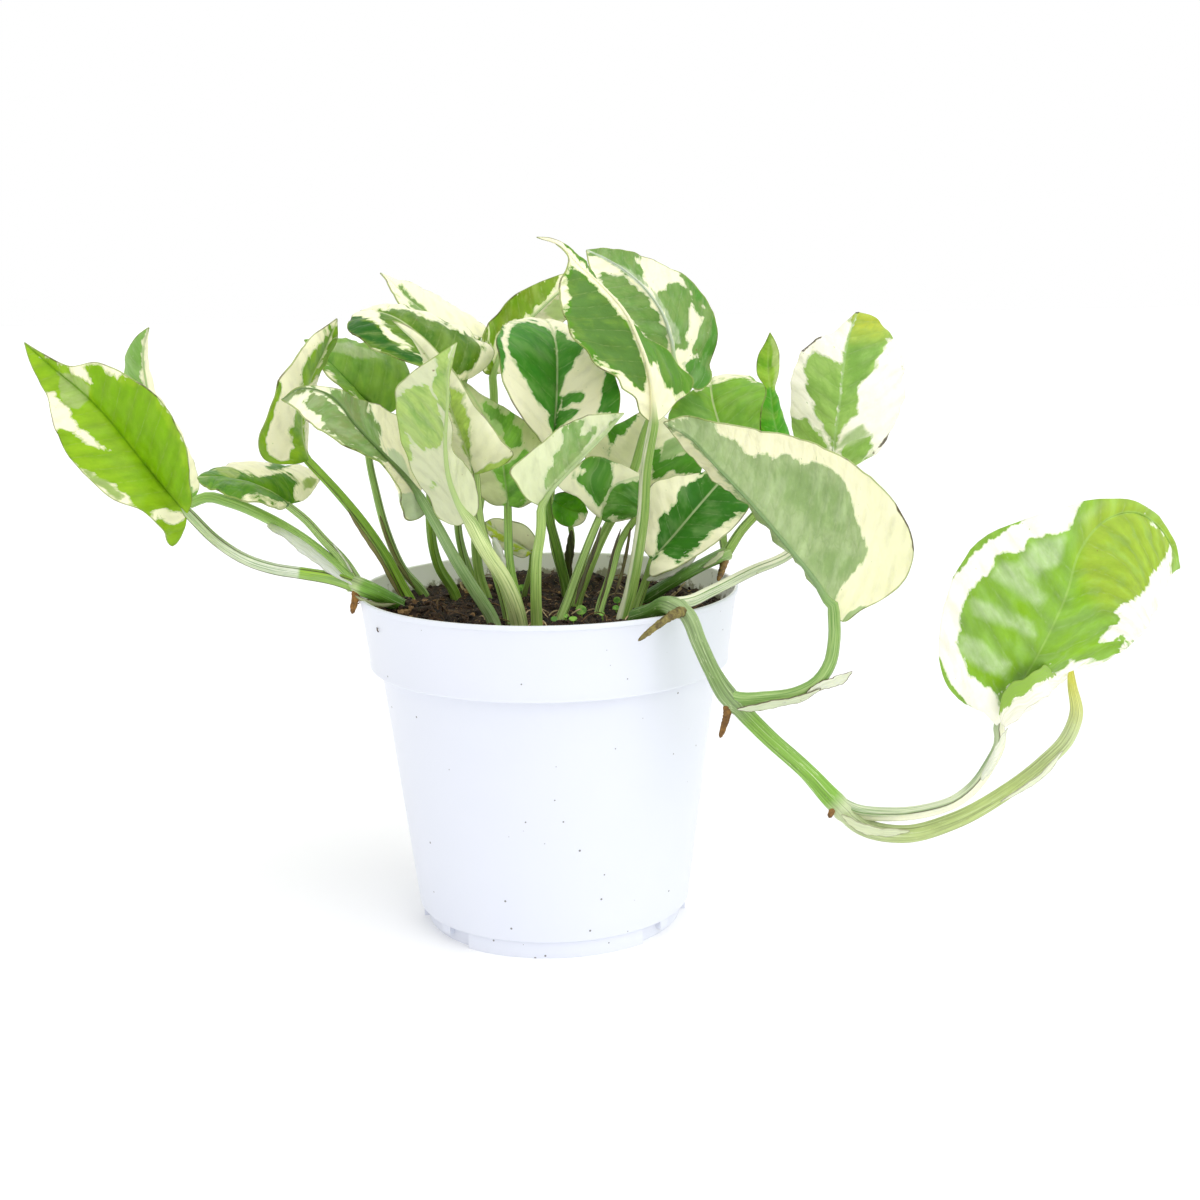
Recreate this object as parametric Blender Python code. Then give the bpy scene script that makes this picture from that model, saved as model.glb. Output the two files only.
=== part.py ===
"""A cream and green pothos in a 12 cm nursery pot, modelled in metres with +Z up.

Each place on the plant is given as where it shows in a front view, in pixels of a picture 1200 wide, and
how far it lies behind the pot's axis in millimetres. View holds that front view. Sizes are real sizes.
"""

import math

import bpy
import numpy as np
from mathutils import Vector

MM = 0.001

# The front view: a pinhole that stands in front of the pot and looks a little down
VIEW_DISTANCE = 557.3
VIEW_HEIGHT = 217.6
VIEW_FOCUS = 1795.4
VIEW_YAW = 0.0292
VIEW_PITCH = 0.2035
VIEW_ROLL = -0.0151
VIEW_MIDDLE = 600.0

# Where the pot's axis stands in the part's frame, which is centred on the whole plant
POT_X = -13.7
POT_Y = -13.1

# The pot
RIM_RADIUS = 60.0
RIM_TOP = 107.6
RIM_ROUND = 0.5
BAND_FOOT = 82.8
BAND_FOOT_RADIUS = 56.6
BAND_INSIDE = BAND_FOOT + 3.0
WALL = 1.3
SHOULDER_RADIUS = 53.3
SHOULDER_INSIDE = BAND_FOOT - 1.5
GROOVE = 0.6
BODY_FOOT_RADIUS = 43.7
BASE_TOP = 5.0
BASE_UNDER = 3.2
BASE_FILLET = 2.0
EDGE_ROUND = 3.2
EDGE_STEPS = 3
FOOT_RADIUS = 39.6
FOOT_WIDTH = 2.6
FOOT_SUNK = 0.8
FOOT_ARCS = 4
FOOT_ARC = math.radians(76)
FOOT_STEPS = 10
DRAIN_RADIUS = 2.6
DRAIN_RING = 31.0
DRAIN_SIDES = 12
POT_SIDES = 56

# The soil
SOIL_TOP = 99.5
SOIL_GAP = 0.35
SOIL_RINGS = 5
SOIL_SIDES = 36
SOIL_CRUMB = 0.9
HOLE_SIDES = 8
HOLE_GAP = 0.35
HOLE_REACH = 14.0
HOLE_BELOW = 2.0
ROOT_DEPTH = 9.0
ROOT_SLANT = 0.35

# Blades: their thickness, grid, where the rows stand between the stalk and the tip, and how they bulge
BLADE = 0.75
BLADE_ROWS = 9
BLADE_COLUMNS = 3
FIRST_ROW = 0.045
LAST_ROW = 0.965
ROW_CROWDING = 0.06
RIB_LAG = 1.25
HEADING_REACH = 0.03
CAMBER = 0.28

# Stalks, stems and aerial roots
STALK_SIDES = 6
STALK_STEP = 13.0
STALK_ON_RIB = (2.0, 7.0)
STALK_SUNK = (0.3, 0.35, 0.22)
STALK_END_RADIUS = 0.45
STEM_SIDES = 8
STEM_STEP = 8.0
AIR_ROOT_THICK = (2.6, 1.2)
AIR_ROOT_SIDES = 5
AIR_ROOT_STEP = 6.0

GREEN = (0.07, 0.24, 0.04)
CREAM = (0.80, 0.78, 0.58)
STEM_GREEN = (0.32, 0.48, 0.16)
BROWN = (0.15, 0.07, 0.03)
WHITE = (0.86, 0.88, 0.92)
LEAF_ROUGHNESS = 0.4
STEM_ROUGHNESS = 0.45
POT_ROUGHNESS = 0.35
SOIL_ROUGHNESS = 0.95


class View:
    """The pinhole of the front view."""

    def __init__(self):
        forward = Vector((
            math.sin(VIEW_YAW) * math.cos(VIEW_PITCH),
            math.cos(VIEW_YAW) * math.cos(VIEW_PITCH),
            -math.sin(VIEW_PITCH),
        ))
        level = forward.cross(Vector((0, 0, 1))).normalized()
        upright = level.cross(forward)
        self.forward = forward
        self.right = level * math.cos(VIEW_ROLL) + upright * math.sin(VIEW_ROLL)
        self.up = upright * math.cos(VIEW_ROLL) - level * math.sin(VIEW_ROLL)
        self.eye = Vector((0, -VIEW_DISTANCE, VIEW_HEIGHT))

    def spot(self, across, down, behind):
        """The point, in mm from the pot's axis, that shows at (across, down) and lies behind the axis."""
        ray = self.forward
        ray = ray + self.right * ((across - VIEW_MIDDLE) / VIEW_FOCUS)
        ray = ray + self.up * ((VIEW_MIDDLE - down) / VIEW_FOCUS)
        point = self.eye + ray * ((behind - self.eye.y) / ray.y)
        return np.array(point)


VIEW = View()

# Each leaf: which face the front view sees, how much of that face is cream, its rib from the stalk to the
# tip, its two margins between those ends, its stalk from the blade down, and the stalk's thickness below
# and above
LEAVES = {
    "far_left": dict(
        seen="upper",
        cream=0.15,
        rib=[(187, 514, -6), (160, 483, -9), (131, 447, -12), (105, 415, -14), (80, 390, -15),
             (50, 365, -13), (24, 342, -8)],
        one=[(191, 505, -8), (190, 480, -14), (185, 445, -18), (169, 412, -20), (147, 388, -21),
             (120, 371, -20), (96, 362, -19), (71, 366, -17), (46, 355, -13)],
        other=[(184, 530, -4), (173, 546, -6), (160, 527, -12), (144, 512, -16), (112, 499, -18),
               (90, 480, -19), (72, 460, -19), (59, 438, -18), (51, 414, -17), (49, 399, -16),
               (40, 383, -15), (30, 362, -12)],
        stalk=[(217, 541, -5), (245, 559, -6), (275, 569, -7), (301, 573, -8), (339, 580, -10),
               (357, 586, -11)],
        thick=(4.0, 3.2),
    ),
    "left_edge_on": dict(
        seen="upper",
        cream=0.2,
        rib=[(192, 502, 8), (176, 470, 13), (158, 425, 17), (147, 385, 17), (143, 352, 15),
             (149, 327, 11)],
        one=[(185, 495, 12), (160, 465, 20), (138, 420, 26), (126, 380, 26), (128, 350, 21),
             (138, 335, 15)],
        other=[(198, 490, 12), (190, 455, 24), (168, 410, 34), (150, 385, 34), (146, 360, 26),
               (147, 340, 18)],
        stalk=[(206, 497, 8), (230, 502, 7), (268, 518, 4), (306, 541, 0), (332, 562, -5),
               (358, 585, -11)],
        thick=(3.6, 3.2),
    ),
    "left_low": dict(
        seen="upper",
        cream=0.3,
        rib=[(289, 504, 0), (268, 490, -4), (240, 480, -8), (215, 477, -12), (197, 478, -18)],
        one=[(303, 500, 6), (315, 485, 14), (319, 477, 18), (300, 467, 20), (275, 463, 20),
             (250, 463, 16), (225, 466, 6), (208, 471, -6)],
        other=[(284, 509, -8), (262, 505, -18), (240, 499, -24), (218, 492, -26), (203, 486, -24)],
        stalk=[(305, 519, 0), (324, 540, -2), (344, 561, -6), (360, 586, -11)],
        thick=(3.2, 2.4),
    ),
    "crescent": dict(
        seen="upper",
        cream=0.5,
        rib=[(309, 460, 0), (303, 435, -2), (303, 410, -3), (311, 380, -3), (325, 350, -2),
             (337, 318, 0)],
        one=[(290, 464, -6), (266, 461, -12), (259, 448, -17), (264, 424, -21), (273, 399, -22),
             (289, 366, -19), (313, 336, -9)],
        other=[(306, 450, 6), (303, 425, 12), (305, 400, 14), (316, 378, 10), (329, 356, 4),
               (337, 336, 1)],
        stalk=[(338, 493, 3), (365, 526, 7), (387, 559, 10), (403, 589, 13), (412, 606, 14)],
        thick=(3.8, 2.6),
    ),
    "left_arching": dict(
        seen="under",
        cream=0.4,
        rib=[(418, 498, -26), (404, 479, -30), (379, 453, -36), (354, 426, -40), (329, 396, -42),
             (303, 389, -42), (281, 400, -40)],
        one=[(428, 470, -18), (425, 440, -14), (405, 420, -16), (380, 406, -22), (362, 400, -28),
             (339, 390, -35), (316, 386, -39), (296, 388, -41)],
        other=[(425, 512, -24), (411, 521, -29), (402, 510, -34), (398, 485, -38), (375, 461, -44),
               (354, 449, -47), (329, 436, -49), (306, 419, -48), (290, 405, -44)],
        stalk=[(437, 526, -28), (455, 559, -28), (473, 588, -26), (494, 624, -22)],
        thick=(4.2, 3.0),
    ),
    "left_behind": dict(
        seen="upper",
        cream=0.2,
        rib=[(374, 409, 30), (360, 395, 28), (342, 375, 28), (322, 355, 30), (304, 340, 36)],
        one=[(392, 412, 28), (405, 395, 30), (410, 375, 36), (404, 362, 42), (380, 347, 48),
             (350, 340, 48), (325, 339, 42)],
        other=[(370, 412, 24), (355, 401, 20), (340, 388, 20), (325, 372, 22), (312, 355, 28)],
        stalk=[(367, 430, 30), (369, 457, 29), (376, 491, 28), (387, 532, 27), (403, 569, 27),
               (426, 598, 27)],
        thick=(3.4, 2.2),
    ),
    "upper_left_broad": dict(
        seen="upper",
        cream=0.35,
        rib=[(450, 380, -14), (436, 356, -14), (420, 336, -12), (400, 320, -8), (380, 312, -3),
             (361, 311, 3)],
        one=[(440, 380, -20), (422, 367, -24), (394, 358, -25), (365, 343, -22), (347, 328, -15),
             (351, 320, -8)],
        other=[(466, 380, -10), (486, 368, -6), (493, 352, 0), (478, 338, 4), (455, 326, 8),
               (425, 314, 10), (400, 306, 10), (378, 307, 7)],
        stalk=[(443, 420, -8), (433, 470, -2), (430, 518, 4), (438, 565, 14), (456, 598, 22)],
        thick=(3.4, 2.2),
    ),
    "upper_left_cream": dict(
        seen="upper",
        cream=0.8,
        rib=[(480, 338, 32), (455, 326, 30), (426, 313, 28), (405, 296, 28), (392, 283, 29),
             (380, 273, 32)],
        one=[(465, 345, 24), (440, 335, 20), (415, 320, 19), (402, 309, 20), (392, 293, 23),
             (386, 280, 27)],
        other=[(490, 335, 38), (484, 325, 42), (459, 309, 44), (434, 295, 42), (413, 284, 38),
               (398, 280, 34)],
        stalk=[(471, 362, 30), (461, 392, 28), (458, 430, 26), (457, 480, 26), (458, 530, 27),
               (472, 596, 30)],
        thick=(2.6, 1.9),
    ),
    "front_left": dict(
        seen="under",
        cream=0.5,
        rib=[(470, 520, -46), (460, 505, -48), (450, 480, -51), (446, 450, -54), (448, 400, -58),
             (449, 365, -58), (457, 342, -54)],
        one=[(458, 525, -40), (442, 518, -36), (424, 492, -36), (409, 462, -40), (400, 435, -44),
             (396, 405, -48), (395, 390, -50), (410, 374, -54), (437, 355, -56)],
        other=[(476, 515, -44), (478, 495, -40), (470, 470, -38), (456, 455, -42), (450, 420, -48),
               (449, 385, -52), (452, 362, -55)],
        stalk=[(483, 546, -46), (503, 577, -42), (514, 602, -38), (520, 630, -32)],
        thick=(5.2, 4.0),
    ),
    "front_cream": dict(
        seen="upper",
        cream=0.75,
        rib=[(474, 474, -30), (465, 447, -32), (455, 420, -33), (445, 392, -34), (434, 367, -36),
             (418, 345, -40), (392, 320, -44)],
        one=[(490, 470, -34), (510, 461, -37), (513, 457, -38), (500, 437, -38), (473, 402, -37),
             (455, 372, -37), (440, 354, -38), (420, 334, -41), (402, 323, -43)],
        other=[(462, 478, -26), (452, 465, -24), (442, 440, -24), (436, 415, -26), (430, 390, -28),
               (427, 370, -32), (421, 354, -36), (408, 333, -41)],
        stalk=[(477, 500, -30), (480, 524, -30), (489, 552, -28), (500, 585, -24), (508, 617, -18)],
        thick=(3.2, 2.6),
    ),
    "middle_left": dict(
        seen="upper",
        cream=0.5,
        rib=[(508, 505, -6), (505, 480, -8), (500, 450, -10), (490, 425, -10), (476, 402, -8),
             (460, 379, -4)],
        one=[(520, 508, -6), (534, 500, -8), (543, 480, -10), (546, 450, -8), (535, 430, -6),
             (520, 418, -5), (503, 407, -5), (485, 397, -5), (470, 386, -4)],
        other=[(495, 505, -8), (480, 495, -12), (468, 470, -16), (462, 440, -16), (458, 415, -14),
               (455, 395, -9)],
        stalk=[(508, 530, -6), (509, 559, -8), (518, 603, -8), (522, 618, -8)],
        thick=(3.0, 2.4),
    ),
    "upper_middle": dict(
        seen="under",
        cream=0.4,
        rib=[(491, 375, 28), (500, 348, 30), (515, 330, 32), (535, 313, 34), (555, 295, 36),
             (575, 280, 38), (600, 272, 40)],
        one=[(484, 372, 24), (480, 350, 22), (484, 332, 24), (497, 315, 30), (507, 301, 32),
             (529, 287, 36), (550, 278, 40), (575, 272, 42)],
        other=[(505, 372, 36), (520, 360, 42), (540, 345, 46), (562, 325, 48), (580, 305, 48),
               (592, 288, 46)],
        stalk=[(494, 400, 26), (490, 450, 22), (480, 500, 18), (476, 530, 16), (480, 577, 18),
               (489, 606, 20)],
        thick=(3.4, 2.6),
    ),
    "middle_heart": dict(
        seen="upper",
        cream=0.6,
        rib=[(553, 436, -8), (556, 405, -8), (557, 375, -6), (556, 345, -2), (550, 325, 6),
             (543, 320, 14), (537, 328, 20)],
        one=[(545, 445, -14), (530, 428, -18), (515, 408, -20), (507, 392, -20), (500, 365, -18),
             (496, 343, -14), (500, 331, -6), (511, 323, 4), (525, 322, 14)],
        other=[(575, 447, -12), (600, 437, -12), (619, 413, -10), (620, 395, -8), (612, 372, -4),
               (598, 350, 0), (580, 332, 6), (562, 323, 12), (548, 322, 18)],
        stalk=[(549, 465, -6), (547, 501, -3), (558, 552, 7), (568, 602, 18)],
        thick=(3.4, 2.6),
    ),
    "top_folded": dict(
        seen="under",
        cream=0.4,
        rib=[(652, 424, -12), (649, 391, -14), (646, 371, -16), (636, 341, -19), (623, 313, -21),
             (603, 290, -22), (575, 263, -22), (560, 246, -20), (536, 237, -16)],
        one=[(640, 412, -16), (634, 397, -22), (618, 381, -26), (600, 366, -29), (581, 348, -31),
             (566, 321, -32), (560, 295, -31), (560, 281, -30), (566, 268, -28), (568, 257, -24),
             (554, 243, -19)],
        other=[(661, 419, -8), (674, 404, -4), (691, 389, 2), (693, 381, 4), (679, 363, 6),
               (653, 341, 4), (629, 323, 0), (610, 300, -4), (595, 275, -8), (580, 256, -12),
               (566, 245, -16), (550, 238, -17)],
        stalk=[(646, 470, -13), (643, 516, -14), (638, 552, -15), (630, 595, -15), (622, 624, -15)],
        thick=(4.0, 3.2),
    ),
    "top_right": dict(
        seen="under",
        cream=0.4,
        rib=[(676, 366, 24), (671, 345, 23), (663, 318, 22), (648, 294, 22), (625, 272, 23),
             (603, 258, 25), (586, 250, 28)],
        one=[(684, 380, 24), (697, 390, 24), (711, 380, 28), (711, 365, 31), (717, 340, 34),
             (714, 315, 36), (702, 293, 37), (682, 275, 37), (656, 261, 35), (633, 253, 33),
             (611, 248, 31)],
        other=[(664, 372, 20), (645, 365, 16), (628, 345, 14), (615, 320, 14), (603, 298, 16),
               (594, 278, 19), (588, 262, 23)],
        stalk=[(662, 395, 16), (646, 430, 10), (634, 470, 6), (620, 505, 5), (606, 530, 5),
               (586, 577, 6), (577, 604, 8)],
        thick=(3.2, 2.4),
    ),
    "right_behind": dict(
        seen="upper",
        cream=0.2,
        rib=[(738, 470, 28), (728, 445, 30), (718, 420, 34), (712, 398, 38), (711, 382, 44),
             (716, 376, 52), (726, 380, 60)],
        one=[(722, 472, 24), (700, 455, 24), (680, 435, 26), (668, 418, 30), (676, 403, 34),
             (690, 393, 38), (703, 388, 44), (712, 380, 54)],
        other=[(756, 466, 34), (772, 445, 38), (773, 420, 40), (771, 400, 42), (767, 388, 46),
               (752, 379, 50), (735, 375, 54)],
        stalk=[(733, 490, 28), (726, 515, 26), (723, 540, 22), (726, 554, 18)],
        thick=(2.6, 2.2),
    ),
    "right_slim": dict(
        seen="upper",
        cream=0.2,
        rib=[(786, 476, 20), (781, 440, 22), (777, 412, 23), (773, 388, 23), (771, 360, 22),
             (771, 332, 20)],
        one=[(774, 478, 18), (762, 460, 18), (756, 430, 19), (756, 400, 21), (753, 380, 22),
             (756, 360, 22), (762, 345, 21)],
        other=[(798, 472, 24), (802, 450, 26), (795, 430, 27), (788, 405, 27), (783, 385, 26),
               (781, 360, 24), (777, 342, 21)],
        stalk=[(772, 496, 20), (757, 513, 19), (740, 532, 19), (731, 546, 18), (726, 554, 18)],
        thick=(3.2, 2.8),
    ),
    "right_dark": dict(
        seen="upper",
        cream=0.3,
        rib=[(652, 560, 0), (670, 540, 2), (692, 514, 4), (716, 486, 6), (735, 465, 8), (750, 450, 10)],
        one=[(643, 548, 1), (641, 525, 4), (645, 500, 6), (652, 484, 8), (675, 478, 11), (705, 470, 14),
             (730, 455, 14)],
        other=[(652, 577, -6), (668, 572, -8), (690, 560, -6), (720, 540, -4), (749, 508, 0),
               (758, 480, 5), (757, 462, 8)],
        stalk=[(648, 575, 1), (641, 595, 2), (636, 610, 2)],
        thick=(3.0, 2.4),
    ),
    "behind_stalks": dict(
        seen="upper",
        cream=0.5,
        rib=[(648, 505, 16), (647, 480, 15), (647, 455, 15), (650, 432, 16), (655, 412, 19)],
        one=[(630, 505, 14), (608, 492, 12), (590, 470, 12), (585, 455, 13), (600, 437, 14),
             (622, 422, 16), (640, 413, 18)],
        other=[(665, 502, 16), (690, 490, 17), (702, 472, 17), (698, 450, 17), (684, 432, 17),
               (668, 420, 18)],
        stalk=[(636, 518, 14), (624, 535, 11), (610, 577, 0), (598, 618, -8)],
        thick=(3.0, 2.2),
    ),
    "front_folded": dict(
        seen="under",
        cream=0.5,
        rib=[(540, 506, -42), (550, 488, -44), (565, 472, -45), (590, 447, -44), (608, 430, -41),
             (624, 413, -36)],
        one=[(528, 500, -44), (515, 482, -46), (509, 473, -46), (525, 456, -44), (546, 439, -40),
             (567, 423, -36), (596, 415, -34)],
        other=[(545, 500, -32), (552, 482, -26), (565, 464, -24), (588, 440, -26), (606, 425, -30)],
        stalk=[(541, 530, -42), (537, 556, -41), (536, 590, -38), (537, 628, -33)],
        thick=(3.6, 2.8),
    ),
    "small_dark": dict(
        seen="upper",
        cream=0.4,
        rib=[(600, 518, -4), (606, 498, -6), (614, 486, -6), (628, 480, -4), (644, 476, 0)],
        one=[(592, 512, -8), (575, 495, -12), (556, 483, -14), (572, 470, -12), (586, 459, -8),
             (600, 457, -5), (613, 461, -3), (628, 469, -1)],
        other=[(607, 522, -4), (625, 520, -3), (638, 515, -2), (646, 500, -1), (648, 487, 0)],
        stalk=[(590, 540, -6), (580, 566, -9), (568, 600, -12), (560, 622, -13)],
        thick=(3.2, 2.4),
    ),
    "small_round": dict(
        seen="upper",
        cream=0.2,
        rib=[(554, 500, 9), (563, 506, 6), (574, 511, 5), (588, 512, 7)],
        one=[(556, 494, 6), (568, 492, 3), (580, 497, 4)],
        other=[(552, 512, 6), (560, 524, 4), (572, 527, 3), (583, 522, 5)],
        stalk=[(560, 500, 12), (572, 535, 14), (567, 575, 20), (573, 598, 26)],
        thick=(2.2, 1.7),
    ),
    "small_cream": dict(
        seen="upper",
        cream=0.6,
        rib=[(532, 552, 6), (515, 542, 4), (500, 532, 4), (485, 522, 6)],
        one=[(536, 540, 4), (525, 525, 2), (508, 520, 2), (494, 518, 4)],
        other=[(525, 557, 6), (510, 553, 6), (498, 545, 6), (488, 532, 6)],
        stalk=[(531, 568, 9), (526, 588, 14), (523, 602, 19)],
        thick=(2.0, 1.6),
    ),
    "rear_middle": dict(
        seen="upper",
        cream=0.4,
        rib=[(562, 402, 55), (566, 387, 66), (572, 380, 78), (578, 382, 92), (584, 393, 104)],
        one=[(545, 407, 53), (524, 402, 62), (518, 394, 76), (530, 390, 92), (560, 392, 102)],
        other=[(578, 407, 53), (604, 402, 63), (616, 396, 78), (608, 392, 94), (592, 394, 103)],
        stalk=[(560, 430, 49), (552, 480, 42), (553, 540, 38), (566, 592, 38)],
        thick=(2.8, 2.2),
    ),
    "rear_left": dict(
        seen="upper",
        cream=0.4,
        rib=[(436, 414, 52), (430, 398, 62), (421, 390, 76), (413, 392, 90), (404, 404, 103)],
        one=[(426, 420, 50), (408, 412, 60), (388, 404, 74), (384, 400, 88), (394, 402, 99)],
        other=[(447, 419, 52), (460, 406, 64), (458, 396, 79), (438, 394, 94), (418, 399, 101)],
        stalk=[(442, 430, 49), (450, 465, 44), (456, 500, 41), (459, 535, 39), (476, 596, 38)],
        thick=(2.8, 2.2),
    ),
    "rear_right": dict(
        seen="upper",
        cream=0.4,
        rib=[(642, 386, 52), (650, 368, 64), (659, 357, 78), (668, 357, 92), (676, 368, 104)],
        one=[(634, 388, 51), (622, 374, 63), (628, 361, 78), (648, 356, 93), (664, 360, 102)],
        other=[(654, 391, 53), (680, 382, 62), (694, 370, 76), (694, 362, 92), (684, 364, 101)],
        stalk=[(642, 400, 48), (643, 450, 42), (643, 516, 37), (638, 552, 35), (630, 596, 33)],
        thick=(2.8, 2.2),
    ),
    "trailing_hanging": dict(
        seen="under",
        cream=0.4,
        rib=[(833, 607, -50), (812, 572, -49), (793, 543, -47), (755, 494, -42), (730, 470, -38),
             (707, 452, -34), (685, 435, -30), (663, 422, -26)],
        one=[(843, 622, -48), (862, 610, -47), (889, 595, -46), (906, 578, -46), (914, 553, -46),
             (910, 530, -46), (898, 507, -46), (881, 486, -46), (852, 463, -45), (822, 446, -43),
             (789, 436, -40), (755, 429, -36), (716, 422, -32), (688, 416, -29)],
        other=[(826, 600, -44), (806, 573, -36), (793, 559, -33), (774, 538, -30), (747, 507, -26),
               (720, 484, -24), (697, 463, -23), (678, 440, -24)],
        stalk=[(834, 639, -52), (828, 667, -55), (816, 683, -56), (797, 693, -56), (764, 698, -55),
               (740, 699, -55), (723, 695, -54)],
        thick=(4.0, 3.4),
    ),
    "trailing_behind": dict(
        seen="upper",
        cream=0.5,
        rib=[(833, 455, -18), (836, 430, -19), (840, 400, -19), (843, 370, -18), (848, 340, -16),
             (857, 312, -12)],
        one=[(820, 458, -16), (803, 450, -14), (793, 430, -12), (791, 400, -12), (794, 372, -12),
             (801, 352, -12), (815, 341, -12), (835, 332, -12), (848, 320, -12)],
        other=[(850, 466, -16), (868, 458, -14), (884, 444, -12), (895, 425, -10), (903, 395, -8),
               (904, 370, -7), (898, 350, -7), (889, 333, -8), (875, 317, -10)],
        stalk=[(832, 485, -17), (820, 520, -18), (790, 553, -22), (751, 571, -30), (709, 592, -40),
               (686, 602, -47), (671, 604, -49)],
        thick=(3.4, 2.6),
    ),
    "far_right": dict(
        seen="upper",
        cream=0.3,
        rib=[(999, 727, -66), (1012, 698, -68), (1030, 669, -70), (1052, 628, -72), (1068, 590, -73),
             (1078, 555, -72), (1098, 526, -68), (1130, 512, -62), (1160, 528, -55), (1180, 568, -50)],
        one=[(985, 715, -68), (958, 697, -72), (943, 675, -74), (939, 655, -75), (942, 615, -76),
             (952, 581, -77), (979, 541, -76), (1023, 520, -73), (1060, 508, -70), (1093, 500, -66),
             (1134, 501, -60), (1162, 521, -54), (1176, 548, -51)],
        other=[(1010, 722, -64), (1035, 705, -62), (1068, 672, -60), (1100, 662, -60), (1132, 643, -60),
               (1150, 620, -60), (1163, 590, -58), (1172, 573, -54)],
        stalk=[(1000, 740, -66), (989, 765, -67), (975, 785, -67), (955, 801, -67), (928, 810, -66),
               (885, 814, -64), (856, 811, -62), (834, 801, -62)],
        thick=(4.2, 3.2),
    ),
}

# Stems that carry leaves: their course out of the soil, their thickness along it, and the leaves and aerial
# roots on them
VINES = {
    "vine_right": dict(
        course=[(636, 618, -30), (652, 611, -37), (671, 604, -49), (684, 615, -54), (697, 644, -55),
                (710, 672, -55), (723, 695, -54), (743, 714, -55), (769, 738, -58), (806, 771, -61),
                (834, 801, -62), (864, 827, -62), (902, 834, -62), (953, 821, -60), (1004, 793, -57),
                (1042, 764, -54), (1067, 738, -52), (1076, 714, -51), (1072, 685, -51),
                (1069, 656, -51)],
        thick=[4.6, 4.8, 5.4, 4.8, 4.6, 4.6, 5.8, 5.0, 4.8, 4.8, 6.0, 5.4, 5.2, 5.0, 4.8, 4.8, 5.0, 4.6,
               3.0, 1.2],
        leaves=["trailing_behind", "trailing_hanging", "far_right"],
        roots=[[(675, 608, -50), (664, 619, -62), (650, 630, -65), (639, 639, -66)],
               [(726, 697, -54), (729, 714, -56), (722, 739, -57)],
               [(836, 802, -62), (832, 811, -64), (829, 818, -65)]],
    ),
    "vine_left": dict(
        course=[(412, 613, 1), (400, 605, -5), (386, 598, -11), (372, 591, -14), (360, 586, -12),
                (352, 583, -9)],
        thick=[4.6, 4.8, 5.0, 5.2, 5.6, 4.6],
        leaves=["far_left", "left_edge_on", "left_low"],
        roots=[[(358, 587, -11), (355, 600, -14), (352, 616, -15)]],
    ),
    "vine_rear": dict(
        course=[(634, 606, 8), (656, 592, 4), (682, 576, 1), (706, 563, 8), (726, 554, 18)],
        thick=[4.2, 4.2, 4.0, 4.0, 4.8],
        leaves=["right_behind", "right_slim"],
        roots=[[(725, 558, 19), (723, 567, 11), (716, 583, 3)]],
    ),
}


def clear_scene():
    for obj in list(bpy.data.objects):
        bpy.data.objects.remove(obj)


def finished(obj, colour, roughness):
    """Gives an object the one material that is its own."""
    made = bpy.data.materials.new(obj.name)
    made.use_nodes = True
    shader = made.node_tree.nodes["Principled BSDF"]
    shader.inputs["Base Color"].default_value = (*colour, 1)
    shader.inputs["Roughness"].default_value = roughness
    obj.data.materials.clear()
    obj.data.materials.append(made)


def solid(name, points, faces):
    """An object from points in mm about the pot's axis."""
    mesh = bpy.data.meshes.new(name)
    shift = np.array((POT_X, POT_Y, 0.0))
    mesh.from_pydata(((np.asarray(points) + shift) * MM).tolist(), [], faces)
    obj = bpy.data.objects.new(name, mesh)
    bpy.context.scene.collection.objects.link(obj)
    return obj


def combined(body, others, operation):
    """Applies one Boolean of the body with the other objects, then removes those."""
    group = bpy.data.collections.new(body.name + "_others")
    for other in others:
        bpy.context.scene.collection.objects.unlink(other)
        group.objects.link(other)
    modifier = body.modifiers.new(operation.lower(), "BOOLEAN")
    modifier.operation = operation
    modifier.operand_type = "COLLECTION"
    modifier.collection = group
    modifier.solver = "EXACT"
    graph = bpy.context.evaluated_depsgraph_get()
    mesh = bpy.data.meshes.new_from_object(body.evaluated_get(graph))
    body.modifiers.clear()
    body.data = mesh
    for other in list(group.objects):
        bpy.data.objects.remove(other)
    bpy.data.collections.remove(group)


def smooth(obj, angle):
    obj.data.shade_smooth()
    obj.data.set_sharp_from_angle(angle=math.radians(angle))


def lengths(points):
    """How far along the line each of its points is."""
    steps = np.linalg.norm(np.diff(points, axis=0), axis=1)
    return np.concatenate([[0], np.cumsum(steps)])


def smooth_line(points, shares):
    """Points at the given shares of the length of a smooth line through the points."""
    points = np.asarray(points, float)
    at = lengths(points)
    slopes = np.gradient(points, at, axis=0)
    t = np.linspace(0, 1, 13)[:, None]
    fine = []
    for i, step in enumerate(np.diff(at)):
        fine.append(
            points[i] * (2 * t**3 - 3 * t**2 + 1)
            + slopes[i] * step * (t**3 - 2 * t**2 + t)
            + points[i + 1] * (3 * t**2 - 2 * t**3)
            + slopes[i + 1] * step * (t**3 - t**2)
        )
    fine = np.concatenate(fine)
    run = lengths(fine)
    return np.stack([np.interp(shares, run / run[-1], fine[:, k]) for k in range(3)], axis=1)


def sampled(line, step):
    """The line at even places about a step apart."""
    count = max(4, int(lengths(line)[-1] / step) + 2)
    return smooth_line(line, np.linspace(0, 1, count))


def placed(spots):
    return np.array([VIEW.spot(*spot) for spot in spots])


def unit(rows):
    return rows / np.maximum(np.linalg.norm(rows, axis=-1, keepdims=True), 1e-9)


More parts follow.
